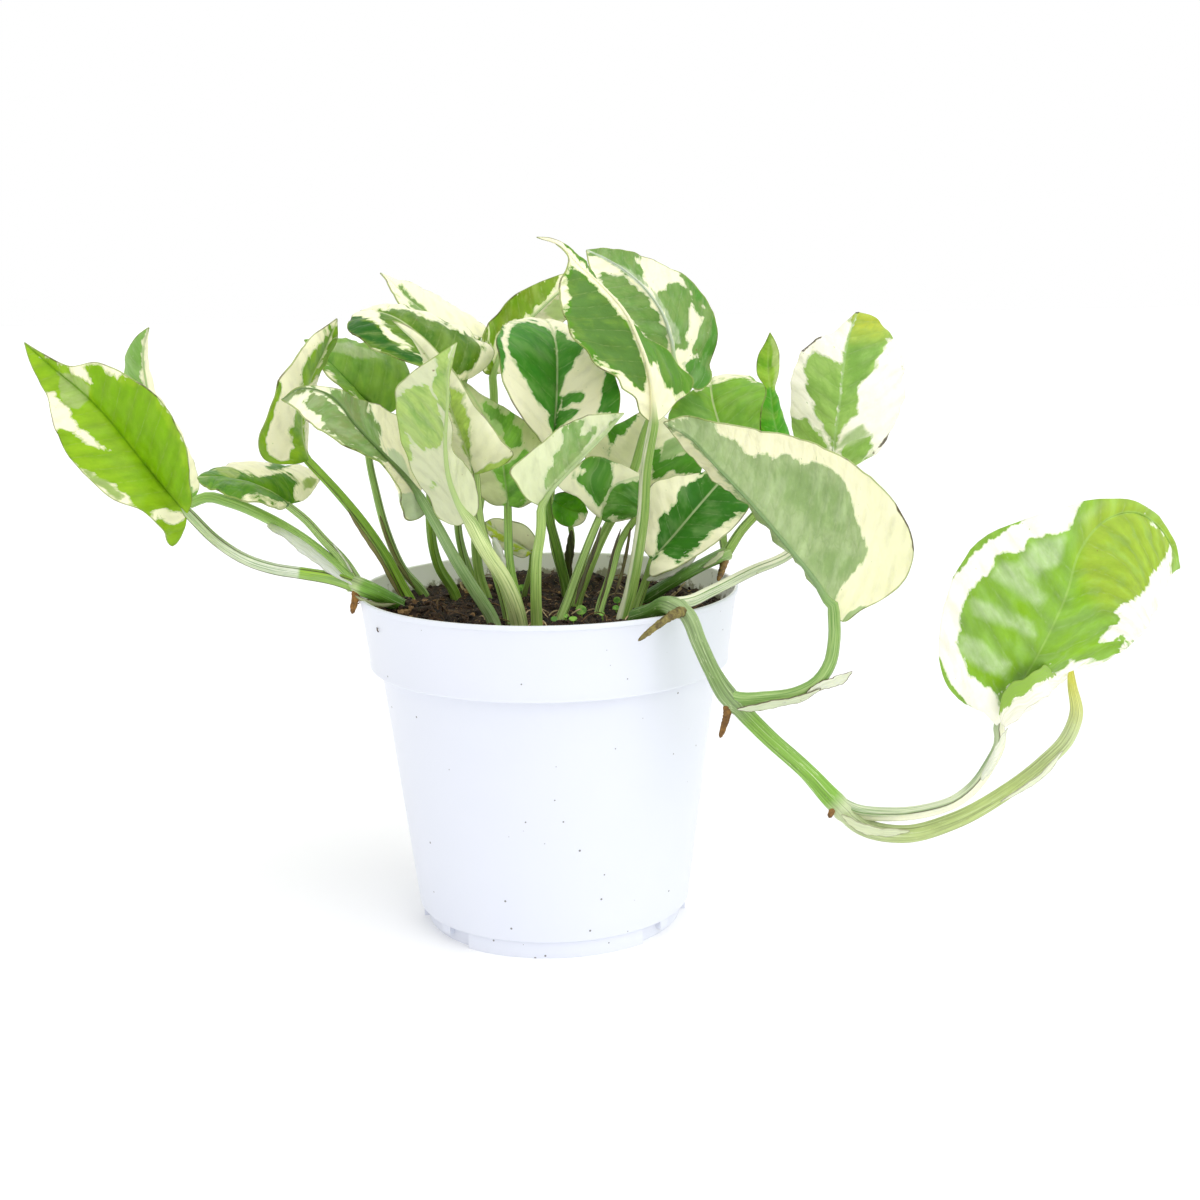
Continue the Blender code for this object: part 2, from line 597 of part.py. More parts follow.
def blade_lines(leaf):
    """The rib and the left and right margins of a leaf as seen on its upper face, with its tip up."""
    rib = placed(leaf["rib"])
    left = np.concatenate([rib[:1], placed(leaf["one"]), rib[-1:]])
    right = np.concatenate([rib[:1], placed(leaf["other"]), rib[-1:]])
    before, middle, after = smooth_line(rib, [0.4, 0.5, 0.6])
    span = smooth_line(right, [0.5])[0] - smooth_line(left, [0.5])[0]
    upper = np.cross(span, after - before)
    upper_is_seen = upper @ (np.array(VIEW.eye) - middle) > 0
    if upper_is_seen != (leaf["seen"] == "upper"):
        left, right = right, left
    return rib, left, right


def blade_grid(leaf, rows, columns):
    """The blade's middle layer, in rows from the stalk to the tip and columns from left to right."""
    rib, left, right = blade_lines(leaf)
    even = np.linspace(0, 1, rows)
    share = even - ROW_CROWDING * np.sin(2 * math.pi * even)
    share = FIRST_ROW + (LAST_ROW - FIRST_ROW) * share
    along = share**RIB_LAG
    middle = smooth_line(rib, along)
    ahead = unit(smooth_line(rib, along + HEADING_REACH) - smooth_line(rib, along - HEADING_REACH))
    grid = np.zeros((rows, 2 * columns + 1, 3))
    grid[:, columns] = middle
    for side, margin in ((-1, left), (1, right)):
        reach = smooth_line(margin, share) - middle
        bulge = side * np.cross(reach, ahead) * CAMBER
        for column in range(1, columns + 1):
            out = column / columns
            grid[:, columns + side * column] = middle + reach * out + bulge * (out * (1 - out))
    return grid


def grid_normals(grid):
    toward_tip = np.gradient(grid, axis=0)
    toward_right = np.gradient(grid, axis=1)
    return unit(np.cross(toward_right, toward_tip))


def grid_rim(rows, columns):
    """The numbers of the points round a grid, once round it."""
    near = list(range(columns))
    right = [i * columns + columns - 1 for i in range(1, rows)]
    far = [(rows - 1) * columns + j for j in range(columns - 2, -1, -1)]
    left = [i * columns for i in range(rows - 2, 0, -1)]
    return near + right + far + left


def blade(name, leaf):
    """A thin closed solid round the blade's middle layer, split alike on both faces."""
    grid = blade_grid(leaf, BLADE_ROWS, BLADE_COLUMNS)
    rows, columns = grid.shape[:2]
    lift = grid_normals(grid) * (BLADE / 2)
    points = np.concatenate([(grid + lift).reshape(-1, 3), (grid - lift).reshape(-1, 3)])
    under = rows * columns
    faces = []
    for i in range(rows - 1):
        for j in range(columns - 1):
            a = i * columns + j
            b, c, d = a + 1, a + columns, a + columns + 1
            faces += [(a, b, d), (a, d, c)]
            faces += [(under + a, under + d, under + b), (under + a, under + c, under + d)]
    rim = grid_rim(rows, columns)
    for a, b in zip(rim, rim[1:] + rim[:1]):
        faces += [(b, a, under + a), (b, under + a, under + b)]
    return solid(name, points, faces)


def tube(name, line, radii, sides):
    """A closed round stem along a line of points in mm."""
    heading = unit(np.gradient(line, axis=0))
    side = unit(np.cross(heading[0], (0.3, 0.9, 0.1)))
    points = []
    for centre, ahead, radius in zip(line, heading, radii):
        side = unit(side - ahead * (side @ ahead))
        other = np.cross(ahead, side)
        for k in range(sides):
            turn = 2 * math.pi * k / sides
            points.append(centre + (side * math.cos(turn) + other * math.sin(turn)) * radius)
    faces = [tuple(range(sides))[::-1]]
    for i in range(len(line) - 1):
        for k in range(sides):
            a, b = i * sides + k, i * sides + (k + 1) % sides
            faces.append((a, b, b + sides, a + sides))
    faces.append(tuple((len(line) - 1) * sides + k for k in range(sides)))
    return solid(name, points, faces)


def stalk_line(leaf):
    """A stalk's line from its foot to a little way along the underside of the blade's rib."""
    rib, left, right = blade_lines(leaf)
    on_rib = smooth_line(rib, np.array(STALK_ON_RIB) / lengths(rib)[-1])
    span = smooth_line(right, [0.2])[0] - smooth_line(left, [0.2])[0]
    upper = unit(np.cross(span, on_rib[1] - on_rib[0]))
    top_thick = leaf["thick"][1]
    end = np.concatenate([rib[:1], on_rib]) - upper * (np.array(STALK_SUNK)[:, None] * top_thick)
    return np.concatenate([placed(leaf["stalk"])[::-1], end])


def rooted(line):
    """A line out of the soil, carried down to where it is rooted."""
    heading = unit(line[0] - line[1])
    drop = np.array((heading[0] * ROOT_SLANT, heading[1] * ROOT_SLANT, -1.0))
    depth = line[0][2] - (SOIL_TOP - ROOT_DEPTH)
    return np.concatenate([(line[0] + drop * depth)[None], line])


def stalk(name, leaf, line):
    """The stalk's object, with the points and radii that it was made from."""
    line = sampled(line, STALK_STEP)
    radii = np.linspace(leaf["thick"][0], leaf["thick"][1], len(line)) / 2
    radii[-1] = STALK_END_RADIUS
    return tube(name, line, radii, STALK_SIDES), line, radii


def leaf_in_soil(name, leaf, holes):
    body, line, radii = stalk(name, leaf, rooted(stalk_line(leaf)))
    holes.append((line, radii))
    combined(body, [blade(name + "_blade", leaf)], "UNION")
    colour = np.array(GREEN) + (np.array(CREAM) - np.array(GREEN)) * leaf["cream"]
    finished(body, colour, LEAF_ROUGHNESS)


def vine(name, plan, holes):
    """A stem with the leaves and aerial roots that grow from it, in one body."""
    course = placed(plan["course"])
    line = sampled(course, STEM_STEP)
    at = lengths(course)
    radii = np.interp(np.linspace(0, 1, len(line)), at / at[-1], np.array(plan["thick"]) / 2)
    line = rooted(line)
    radii = np.concatenate([radii[:1], radii])
    holes.append((line, radii))
    body = tube(name, line, radii, STEM_SIDES)
    others = []
    for leaf_name in plan["leaves"]:
        leaf = LEAVES[leaf_name]
        others.append(blade(leaf_name + "_blade", leaf))
        others.append(stalk(leaf_name + "_stalk", leaf, stalk_line(leaf))[0])
    for root in plan["roots"]:
        root_line = sampled(placed(root), AIR_ROOT_STEP)
        root_radii = np.linspace(AIR_ROOT_THICK[0], AIR_ROOT_THICK[1], len(root_line)) / 2
        others.append(tube(name + "_root", root_line, root_radii, AIR_ROOT_SIDES))
    combined(body, others, "UNION")
    finished(body, STEM_GREEN, STEM_ROUGHNESS)


def turned(name, profile, sides):
    """A closed solid turned about the pot's axis, from a closed profile of (radius, height)."""
    points, faces, rings = [], [], []
    for radius, height in profile:
        if radius == 0:
            rings.append([len(points)] * sides)
            points.append((0, 0, height))
            continue
        rings.append(list(range(len(points), len(points) + sides)))
        for k in range(sides):
            turn = 2 * math.pi * k / sides
            points.append((radius * math.cos(turn), radius * math.sin(turn), height))
    for lower, upper in zip(rings, rings[1:]):
        for k in range(sides):
            after = (k + 1) % sides
            corners = [lower[k], lower[after], upper[after], upper[k]]
            faces.append(tuple(dict.fromkeys(corners)))
    return solid(name, points, faces)


def pot_profile():
    """From the middle of the underside out, up the outside, over the rim and down the inside."""
    rounding = []
    for k in range(EDGE_STEPS + 1):
        turn = math.radians(90 * k / EDGE_STEPS)
        rounding.append((
            BODY_FOOT_RADIUS - EDGE_ROUND * (1 - math.sin(turn)),
            BASE_UNDER + EDGE_ROUND * (1 - math.cos(turn)),
        ))
    shoulder = [(SHOULDER_RADIUS, BAND_FOOT - 2 * GROOVE), (SHOULDER_RADIUS + GROOVE, BAND_FOOT)]
    band = [(BAND_FOOT_RADIUS - GROOVE, BAND_FOOT), (BAND_FOOT_RADIUS, BAND_FOOT + GROOVE)]
    rim = [
        (RIM_RADIUS, RIM_TOP - RIM_ROUND),
        (RIM_RADIUS - RIM_ROUND, RIM_TOP),
        (RIM_RADIUS - WALL, RIM_TOP),
    ]
    inside = [(BAND_FOOT_RADIUS - WALL, BAND_INSIDE), (SHOULDER_RADIUS - WALL, SHOULDER_INSIDE)]
    floor_radius = BODY_FOOT_RADIUS - WALL
    floor = [(floor_radius, BASE_TOP + BASE_FILLET), (floor_radius - BASE_FILLET, BASE_TOP), (0, BASE_TOP)]
    return [(0, BASE_UNDER)] + rounding + shoulder + band + rim + inside + floor


def foot_arc(name, middle):
    """One arc of the foot ring, sunk into the base."""
    top = BASE_UNDER + FOOT_SUNK
    inner = FOOT_RADIUS - FOOT_WIDTH
    section = [(inner, 0), (FOOT_RADIUS, 0), (FOOT_RADIUS, top), (inner, top)]
    points, faces = [], []
    for i in range(FOOT_STEPS + 1):
        turn = middle + FOOT_ARC * (i / FOOT_STEPS - 0.5)
        for radius, height in section:
            points.append((radius * math.cos(turn), radius * math.sin(turn), height))
    for i in range(FOOT_STEPS):
        for k in range(4):
            a, b = 4 * i + k, 4 * i + (k + 1) % 4
            faces.append((a, a + 4, b + 4, b))
    faces.append((0, 1, 2, 3))
    faces.append(tuple(4 * FOOT_STEPS + k for k in (3, 2, 1, 0)))
    return solid(name, points, faces)


def drain(name, turn):
    x, y = DRAIN_RING * math.cos(turn), DRAIN_RING * math.sin(turn)
    line = np.array([(x, y, 0), (x, y, 2 * BASE_TOP)])
    return tube(name, line, [DRAIN_RADIUS, DRAIN_RADIUS], DRAIN_SIDES)


def pot():
    body = turned("pot", pot_profile(), POT_SIDES)
    quarter = 2 * math.pi / FOOT_ARCS
    front = math.radians(-90)
    feet = [foot_arc("foot", front + quarter * k) for k in range(FOOT_ARCS)]
    combined(body, feet, "UNION")
    drains = [drain("drain", front + quarter * (k + 0.5)) for k in range(FOOT_ARCS)]
    combined(body, drains, "DIFFERENCE")
    smooth(body, 35)
    finished(body, WHITE, POT_ROUGHNESS)


def inner_radius(height):
    """The pot's inside radius at a height."""
    heights = [BASE_TOP + BASE_FILLET, SHOULDER_INSIDE, BAND_INSIDE, RIM_TOP]
    radii = [BODY_FOOT_RADIUS, SHOULDER_RADIUS, BAND_FOOT_RADIUS, RIM_RADIUS]
    return float(np.interp(height, heights, radii)) - WALL


def soil_profile():
    """From the middle of the floor out, up the wall, and back over the top to the middle."""
    low = BASE_TOP + SOIL_GAP
    profile = [(0, low), (BODY_FOOT_RADIUS - WALL - BASE_FILLET - SOIL_GAP, low)]
    for height in (BASE_TOP + BASE_FILLET + SOIL_GAP, SHOULDER_INSIDE, BAND_INSIDE, SOIL_TOP - SOIL_CRUMB):
        profile.append((inner_radius(height) - SOIL_GAP, height))
    edge = profile[-1][0]
    for ring in range(SOIL_RINGS, -1, -1):
        profile.append((edge * ring / (SOIL_RINGS + 1), SOIL_TOP))
    return profile


def soil_hole(line, radii):
    """The cutter for a stem, from below its end to well above the soil."""
    last = max(i for i, point in enumerate(line) if point[2] < SOIL_TOP + HOLE_REACH)
    line = line[: last + 2]
    below = line[0] + unit(line[0] - line[1]) * HOLE_BELOW
    wide = np.concatenate([radii[:1], radii[: len(line)]]) / math.cos(math.pi / HOLE_SIDES) + HOLE_GAP
    return tube("hole", np.concatenate([below[None], line]), wide, HOLE_SIDES)


def soil(holes):
    """A fill of the pot with a crumbly top and a plain hole for each stem."""
    scatter = np.random.default_rng(7)
    body = turned("soil", soil_profile(), SOIL_SIDES)
    for vertex in body.data.vertices:
        if vertex.co.z > (SOIL_TOP - SOIL_CRUMB / 2) * MM:
            vertex.co.z += scatter.uniform(-SOIL_CRUMB, SOIL_CRUMB) * MM
    combined(body, [soil_hole(line, radii) for line, radii in holes], "DIFFERENCE")
    smooth(body, 30)
    finished(body, BROWN, SOIL_ROUGHNESS)


def main():
    clear_scene()
    holes = []
    for name, plan in VINES.items():
        vine(name, plan, holes)
    on_vines = {leaf for plan in VINES.values() for leaf in plan["leaves"]}
    for name, leaf in LEAVES.items():
        if name not in on_vines:
            leaf_in_soil("leaf_" + name, leaf, holes)
    pot()
    soil(holes)


main()
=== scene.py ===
"""The looks of a cream and green pothos in a white nursery pot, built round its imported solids.

Each place on the plant is given as where it shows in the camera's picture, in pixels of a picture 1200 wide,
and how far it lies behind the pot's axis in millimetres, as the solids' source gives it.
"""

import math

import bpy
import numpy as np
from mathutils import Matrix, Vector, noise


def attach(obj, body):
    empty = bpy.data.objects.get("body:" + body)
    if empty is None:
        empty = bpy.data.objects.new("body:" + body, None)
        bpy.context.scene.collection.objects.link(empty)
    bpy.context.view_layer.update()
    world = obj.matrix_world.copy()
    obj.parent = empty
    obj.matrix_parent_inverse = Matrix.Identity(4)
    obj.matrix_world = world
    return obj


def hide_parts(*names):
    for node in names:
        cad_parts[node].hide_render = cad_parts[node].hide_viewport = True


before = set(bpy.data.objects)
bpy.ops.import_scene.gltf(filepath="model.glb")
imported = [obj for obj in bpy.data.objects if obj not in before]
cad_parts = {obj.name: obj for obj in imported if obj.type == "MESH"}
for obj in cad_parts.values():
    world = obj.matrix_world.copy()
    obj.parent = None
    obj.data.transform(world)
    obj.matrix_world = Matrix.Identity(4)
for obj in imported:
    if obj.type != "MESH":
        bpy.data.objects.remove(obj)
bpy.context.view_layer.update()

MM = 0.001
# How many mm a UV map's unit spans, how many points a smooth line has between two of its places, and the
# distance in metres within which the edges of a seam are merged
UV_LENGTH = 100.0
LINE_STEPS = 13
SEAM_GAP = 0.000005

# The camera: its place in front of the pot's axis, and how it is turned
VIEW_DISTANCE = 557.3
VIEW_HEIGHT = 217.6
VIEW_FOCUS = 1795.4
VIEW_YAW = 0.0292
VIEW_PITCH = 0.2035
VIEW_ROLL = -0.0151
VIEW_MIDDLE = 600.0
PICTURE = 1200.0
SENSOR = 36.0
PIXEL = VIEW_DISTANCE / VIEW_FOCUS

# Where the pot's axis stands, and the pot's sizes
POT_X = -13.7
POT_Y = -13.1
SHIFT = (POT_X, POT_Y, 0.0)
POT_SIDES = 128
RIM_RADIUS = 60.0
RIM_TOP = 107.6
BAND_FOOT = 84.0
BAND_FOOT_RADIUS = 56.6
WALL = 1.3
SHOULDER_RADIUS = 53.3
BODY_FOOT_RADIUS = 43.7
BASE_TOP = 6.8
BASE_UNDER = 5.2
EDGE_ROUND = 0.7
FOOT_RADIUS = 42.6
FOOT_WIDTH = 1.8
# Where the ring of the foot stands, in degrees to either side of the front
FOOT_PARTS = ((0, 38), (83, 157))
FOOT_TABS = ((50, 57), (176, 180))
FOOT_RING = 1.2
TAB_DEPTH = 2.9
SOIL_TOP = 99.5
# What is turned on the axis starts and ends in a small disc
DISC_RADIUS = 3.0

# The soil's lumps, and how many crumbs and fibres lie on it, each copied from a few kinds
SOIL_SIDES = 160
HEAP_REACH = 7.0
CRUMBS = 1100
CRUMB_KINDS = 8
CHIP_EVERY = 9
FIBRES = 160
FIBRE_KINDS = 6

# Blades
BLADE_THICK = 0.45
BLADE_ROWS = 76
BLADE_COLUMNS = 22
FIRST_ROW = 0.006
LAST_ROW = 0.997
ROW_CROWDING = 0.09
COLUMN_CROWDING = 1.15
RIB_LAG = 1.25
HEADING_REACH = 0.03
CAMBER = 0.28
WAVE = 0.9
WAVES = (0.5, 0.33, 0.2)
WAVE_LENGTH = 60.0
QUILT = 0.3
CRINKLE = 0.55
RIB_GROOVE = 0.35
FULL_RELIEF_HALF = 12.0
VEIN_GAP = 5.2
VEIN_SLANT = 0.55
VEIN_BEND = 0.006
FAR_OUTSIDE = 60.0

# The floor's size in metres, and the light
FLOOR_SIZE = 8.0
STUDIO_LIGHT = 1.0
KEY_LIGHT = 1.15
KEY_PLACE = (0.92, -0.66, 1.18)
KEY_SOFTNESS = 70

# Stalks and stems
STALK_SIDES = 28
STALK_STEP = 2.4
STALK_ON_RIB = 0.93
STALK_FLARE = 0.12
FLARE_LENGTH = 6.0
RIB_STEP = 3.0
STEM_SIDES = 40
STEM_STEP = 0.9
ROOT_SLANT = 0.35
ROOT_DEPTH = 7.0
AIR_ROOT_TIP = 1.5
AIR_ROOT_STEP = 0.5
AIR_ROOT_SIDES = 12
STEM_TONES_LENGTH = 220.0
SHEATH_THICK = 0.3
SHEATH_COLUMNS = 8
SHEATH_STEP = 0.7

# The angles under which faces meet smoothly, in degrees
SHEET_SMOOTH = 60
STEM_SMOOTH = 50
POT_SMOOTH = 32

# Colours and glow that several finishes share
CREAM = "#F9F6D4"
CREAM_SHADE = (0.80, 0.80, 0.42, 1)
SHEATH_BROWN = "#4A3418"
BLADE_SPECK = (0.20, 0.09, 0.03, 1)
STALK_SPECK = (0.20, 0.10, 0.03, 1)
GREEN_GLOW = (0.9, 1.0, 0.3)
PLASTIC_GLOW = (1.0, 1.0, 1.0)
GLOW_DEPTH = 0.0015

# Each leaf: the side that the camera sees, its stalk's thickness at foot and top, its rib from the stalk to
# the tip, its two margins, and its stalk from the blade down
LEAVES = {
    "far_left": dict(
        seen="upper", thick=(4.0, 3.2),
        rib=[(187,514,-6), (160,483,-9), (131,447,-12), (105,415,-14), (80,390,-15), (50,365,-13),
            (24,342,-8)],
        one=[(191,505,-8), (190,480,-14), (185,445,-18), (169,412,-20), (147,388,-21), (120,371,-20),
            (96,362,-19), (71,366,-17), (46,355,-13)],
        other=[(184,530,-4), (173,546,-6), (160,527,-12), (144,512,-16), (112,499,-18), (90,480,-19),
            (72,460,-19), (59,438,-18), (51,414,-17), (49,399,-16), (40,383,-15), (30,362,-12)],
        stalk=[(217,541,-5), (245,559,-6), (275,569,-7), (301,573,-8), (339,580,-10), (357,586,-11)],
    ),
    "left_edge_on": dict(
        seen="upper", thick=(3.6, 3.2),
        rib=[(192,502,8), (176,470,13), (158,425,17), (147,385,17), (143,352,15), (149,327,11)],
        one=[(185,495,12), (160,465,20), (138,420,26), (126,380,26), (128,350,21), (138,335,15)],
        other=[(198,490,12), (190,455,24), (168,410,34), (150,385,34), (146,360,26), (147,340,18)],
        stalk=[(206,497,8), (230,502,7), (268,518,4), (306,541,0), (332,562,-5), (358,585,-11)],
    ),
    "left_low": dict(
        seen="upper", thick=(3.2, 2.4),
        rib=[(289,504,0), (268,490,-4), (240,480,-8), (215,477,-12), (197,478,-18)],
        one=[(303,500,6), (315,485,14), (319,477,18), (300,467,20), (275,463,20), (250,463,16), (225,466,6),
            (208,471,-6)],
        other=[(284,509,-8), (262,505,-18), (240,499,-24), (218,492,-26), (203,486,-24)],
        stalk=[(305,519,0), (324,540,-2), (344,561,-6), (360,586,-11)],
    ),
    "crescent": dict(
        seen="upper", thick=(3.8, 2.6),
        rib=[(309,460,0), (303,435,-2), (303,410,-3), (311,380,-3), (325,350,-2), (337,318,0)],
        one=[(290,464,-6), (266,461,-12), (259,448,-17), (264,424,-21), (273,399,-22), (289,366,-19),
            (313,336,-9)],
        other=[(306,450,6), (303,425,12), (305,400,14), (316,378,10), (329,356,4), (337,336,1)],
        stalk=[(338,493,3), (365,526,7), (387,559,10), (403,589,13), (412,606,14)],
    ),
    "left_arching": dict(
        seen="under", thick=(4.2, 3.0),
        rib=[(418,498,-26), (404,479,-30), (379,453,-36), (354,426,-40), (329,396,-42), (303,389,-42),
            (281,400,-40)],
        one=[(428,470,-18), (425,440,-14), (405,420,-16), (380,406,-22), (362,400,-28), (339,390,-35),
            (316,386,-39), (296,388,-41)],
        other=[(425,512,-24), (411,521,-29), (402,510,-34), (398,485,-38), (375,461,-44), (354,449,-47),
            (329,436,-49), (306,419,-48), (290,405,-44)],
        stalk=[(437,526,-28), (455,559,-28), (473,588,-26), (494,624,-22)],
    ),
    "left_behind": dict(
        seen="upper", thick=(3.4, 2.2),
        rib=[(374,409,30), (360,395,28), (342,375,28), (322,355,30), (304,340,36)],
        one=[(392,412,28), (405,395,30), (410,375,36), (404,362,42), (380,347,48), (350,340,48),
            (325,339,42)],
        other=[(370,412,24), (355,401,20), (340,388,20), (325,372,22), (312,355,28)],
        stalk=[(367,430,30), (369,457,29), (376,491,28), (387,532,27), (403,569,27), (426,598,27)],
    ),
    "upper_left_broad": dict(
        seen="upper", thick=(3.4, 2.2),
        rib=[(450,380,-14), (436,356,-14), (420,336,-12), (400,320,-8), (380,312,-3), (361,311,3)],
        one=[(440,380,-20), (422,367,-24), (394,358,-25), (365,343,-22), (347,328,-15), (351,320,-8)],
        other=[(466,380,-10), (486,368,-6), (493,352,0), (478,338,4), (455,326,8), (425,314,10),
            (400,306,10), (378,307,7)],
        stalk=[(443,420,-8), (433,470,-2), (430,518,4), (438,565,14), (456,598,22)],
    ),
    "upper_left_cream": dict(
        seen="upper", thick=(2.6, 1.9),
        rib=[(480,338,32), (455,326,30), (426,313,28), (405,296,28), (392,283,29), (380,273,32)],
        one=[(465,345,24), (440,335,20), (415,320,19), (402,309,20), (392,293,23), (386,280,27)],
        other=[(490,335,38), (484,325,42), (459,309,44), (434,295,42), (413,284,38), (398,280,34)],
        stalk=[(471,362,30), (461,392,28), (458,430,26), (457,480,26), (458,530,27), (472,596,30)],
    ),
    "front_left": dict(
        seen="under", thick=(5.2, 4.0),
        rib=[(470,520,-46), (460,505,-48), (450,480,-51), (446,450,-54), (448,400,-58), (449,365,-58),
            (457,342,-54)],
        one=[(458,525,-40), (442,518,-36), (424,492,-36), (409,462,-40), (400,435,-44), (396,405,-48),
            (395,390,-50), (410,374,-54), (437,355,-56)],
        other=[(476,515,-44), (478,495,-40), (470,470,-38), (456,455,-42), (450,420,-48), (449,385,-52),
            (452,362,-55)],
        stalk=[(483,546,-46), (503,577,-42), (514,602,-38), (520,630,-32)],
    ),
    "front_cream": dict(
        seen="upper", thick=(3.2, 2.6),
        rib=[(474,474,-30), (465,447,-32), (455,420,-33), (445,392,-34), (434,367,-36), (418,345,-40),
            (392,320,-44)],
        one=[(490,470,-34), (510,461,-37), (513,457,-38), (500,437,-38), (473,402,-37), (455,372,-37),
            (440,354,-38), (420,334,-41), (402,323,-43)],
        other=[(462,478,-26), (452,465,-24), (442,440,-24), (436,415,-26), (430,390,-28), (427,370,-32),
            (421,354,-36), (408,333,-41)],
        stalk=[(477,500,-30), (480,524,-30), (489,552,-28), (500,585,-24), (508,617,-18)],
    ),
    "middle_left": dict(
        seen="upper", thick=(3.0, 2.4),
        rib=[(508,505,-6), (505,480,-8), (500,450,-10), (490,425,-10), (476,402,-8), (460,379,-4)],
        one=[(520,508,-6), (534,500,-8), (543,480,-10), (546,450,-8), (535,430,-6), (520,418,-5),
            (503,407,-5), (485,397,-5), (470,386,-4)],
        other=[(495,505,-8), (480,495,-12), (468,470,-16), (462,440,-16), (458,415,-14), (455,395,-9)],
        stalk=[(508,530,-6), (509,559,-8), (518,603,-8), (522,618,-8)],
    ),
    "upper_middle": dict(
        seen="under", thick=(3.4, 2.6),
        rib=[(491,375,28), (500,348,30), (515,330,32), (535,313,34), (555,295,36), (575,280,38),
            (600,272,40)],
        one=[(484,372,24), (480,350,22), (484,332,24), (497,315,30), (507,301,32), (529,287,36),
            (550,278,40), (575,272,42)],
        other=[(505,372,36), (520,360,42), (540,345,46), (562,325,48), (580,305,48), (592,288,46)],
        stalk=[(494,400,26), (490,450,22), (480,500,18), (476,530,16), (480,577,18), (489,606,20)],
    ),
    "middle_heart": dict(
        seen="upper", thick=(3.4, 2.6),
        rib=[(553,436,-8), (556,405,-8), (557,375,-6), (556,345,-2), (550,325,6), (543,320,14),
            (537,328,20)],
        one=[(545,445,-14), (530,428,-18), (515,408,-20), (507,392,-20), (500,365,-18), (496,343,-14),
            (500,331,-6), (511,323,4), (525,322,14)],
        other=[(575,447,-12), (600,437,-12), (619,413,-10), (620,395,-8), (612,372,-4), (598,350,0),
            (580,332,6), (562,323,12), (548,322,18)],
        stalk=[(549,465,-6), (547,501,-3), (558,552,7), (568,602,18)],
    ),
    "top_folded": dict(
        seen="under", thick=(4.0, 3.2),
        rib=[(652,424,-12), (649,391,-14), (646,371,-16), (636,341,-19), (623,313,-21), (603,290,-22),
            (575,263,-22), (560,246,-20), (536,237,-16)],
        one=[(640,412,-16), (634,397,-22), (618,381,-26), (600,366,-29), (581,348,-31), (566,321,-32),
            (560,295,-31), (560,281,-30), (566,268,-28), (568,257,-24), (554,243,-19)],
        other=[(661,419,-8), (674,404,-4), (691,389,2), (693,381,4), (679,363,6), (653,341,4), (629,323,0),
            (610,300,-4), (595,275,-8), (580,256,-12), (566,245,-16), (550,238,-17)],
        stalk=[(646,470,-13), (643,516,-14), (638,552,-15), (630,595,-15), (622,624,-15)],
    ),
    "top_right": dict(
        seen="under", thick=(3.2, 2.4),
        rib=[(676,366,24), (671,345,23), (663,318,22), (648,294,22), (625,272,23), (603,258,25),
            (586,250,28)],
        one=[(684,380,24), (697,390,24), (711,380,28), (711,365,31), (717,340,34), (714,315,36),
            (702,293,37), (682,275,37), (656,261,35), (633,253,33), (611,248,31)],
        other=[(664,372,20), (645,365,16), (628,345,14), (615,320,14), (603,298,16), (594,278,19),
            (588,262,23)],
        stalk=[(662,395,16), (646,430,10), (634,470,6), (620,505,5), (606,530,5), (586,577,6), (577,604,8)],
    ),
    "right_behind": dict(
        seen="upper", thick=(2.6, 2.2),
        rib=[(738,470,28), (728,445,30), (718,420,34), (712,398,38), (711,382,44), (716,376,52),
            (726,380,60)],
        one=[(722,472,24), (700,455,24), (680,435,26), (668,418,30), (676,403,34), (690,393,38),
            (703,388,44), (712,380,54)],
        other=[(756,466,34), (772,445,38), (773,420,40), (771,400,42), (767,388,46), (752,379,50),
            (735,375,54)],
        stalk=[(733,490,28), (726,515,26), (723,540,22), (726,554,18)],
    ),
    "right_slim": dict(
        seen="upper", thick=(3.2, 2.8),
        rib=[(786,476,20), (779,440,22), (773,415,23), (770,389,23), (768,362,22), (770,332,20)],
        one=[(774,478,18), (764,455,18), (760,430,19), (761,408,20), (766,390,22), (757,374,22),
            (758,356,22), (766,341,21)],
        other=[(798,472,24), (792,445,26), (783,418,27), (779,400,26), (774,388,25), (778,374,24),
            (779,355,23), (775,341,21)],
        stalk=[(772,496,20), (757,513,19), (740,532,19), (731,546,18), (726,554,18)],
    ),
    "right_dark": dict(
        seen="upper", thick=(3.0, 2.4),
        rib=[(652,560,0), (670,540,2), (692,514,4), (716,486,6), (735,465,8), (750,450,10)],
        one=[(643,548,1), (641,525,4), (645,500,6), (652,484,8), (675,478,11), (705,470,14), (730,455,14)],
        other=[(652,577,-6), (668,572,-8), (690,560,-6), (720,540,-4), (749,508,0), (758,480,5),
            (757,462,8)],
        stalk=[(648,575,1), (641,595,2), (636,610,2)],
    ),
    "behind_stalks": dict(
        seen="upper", thick=(3.0, 2.2),
        rib=[(648,505,16), (647,480,15), (647,455,15), (650,432,16), (655,412,19)],
        one=[(630,505,14), (608,492,12), (590,470,12), (585,455,13), (600,437,14), (622,422,16),
            (640,413,18)],
        other=[(665,502,16), (690,490,17), (702,472,17), (698,450,17), (684,432,17), (668,420,18)],
        stalk=[(636,518,14), (624,535,11), (610,577,0), (598,618,-8)],
    ),
    "front_folded": dict(
        seen="under", thick=(3.6, 2.8),
        rib=[(540,506,-42), (550,488,-44), (565,472,-45), (590,447,-44), (608,430,-41), (624,413,-36)],
        one=[(528,500,-44), (515,482,-46), (509,473,-46), (525,456,-44), (546,439,-40), (567,423,-36),
            (596,415,-34)],
        other=[(545,500,-32), (552,482,-26), (565,464,-24), (588,440,-26), (606,425,-30)],
        stalk=[(541,530,-42), (537,556,-41), (536,590,-38), (537,628,-33)],
    ),
    "small_dark": dict(
        seen="upper", thick=(3.2, 2.4),
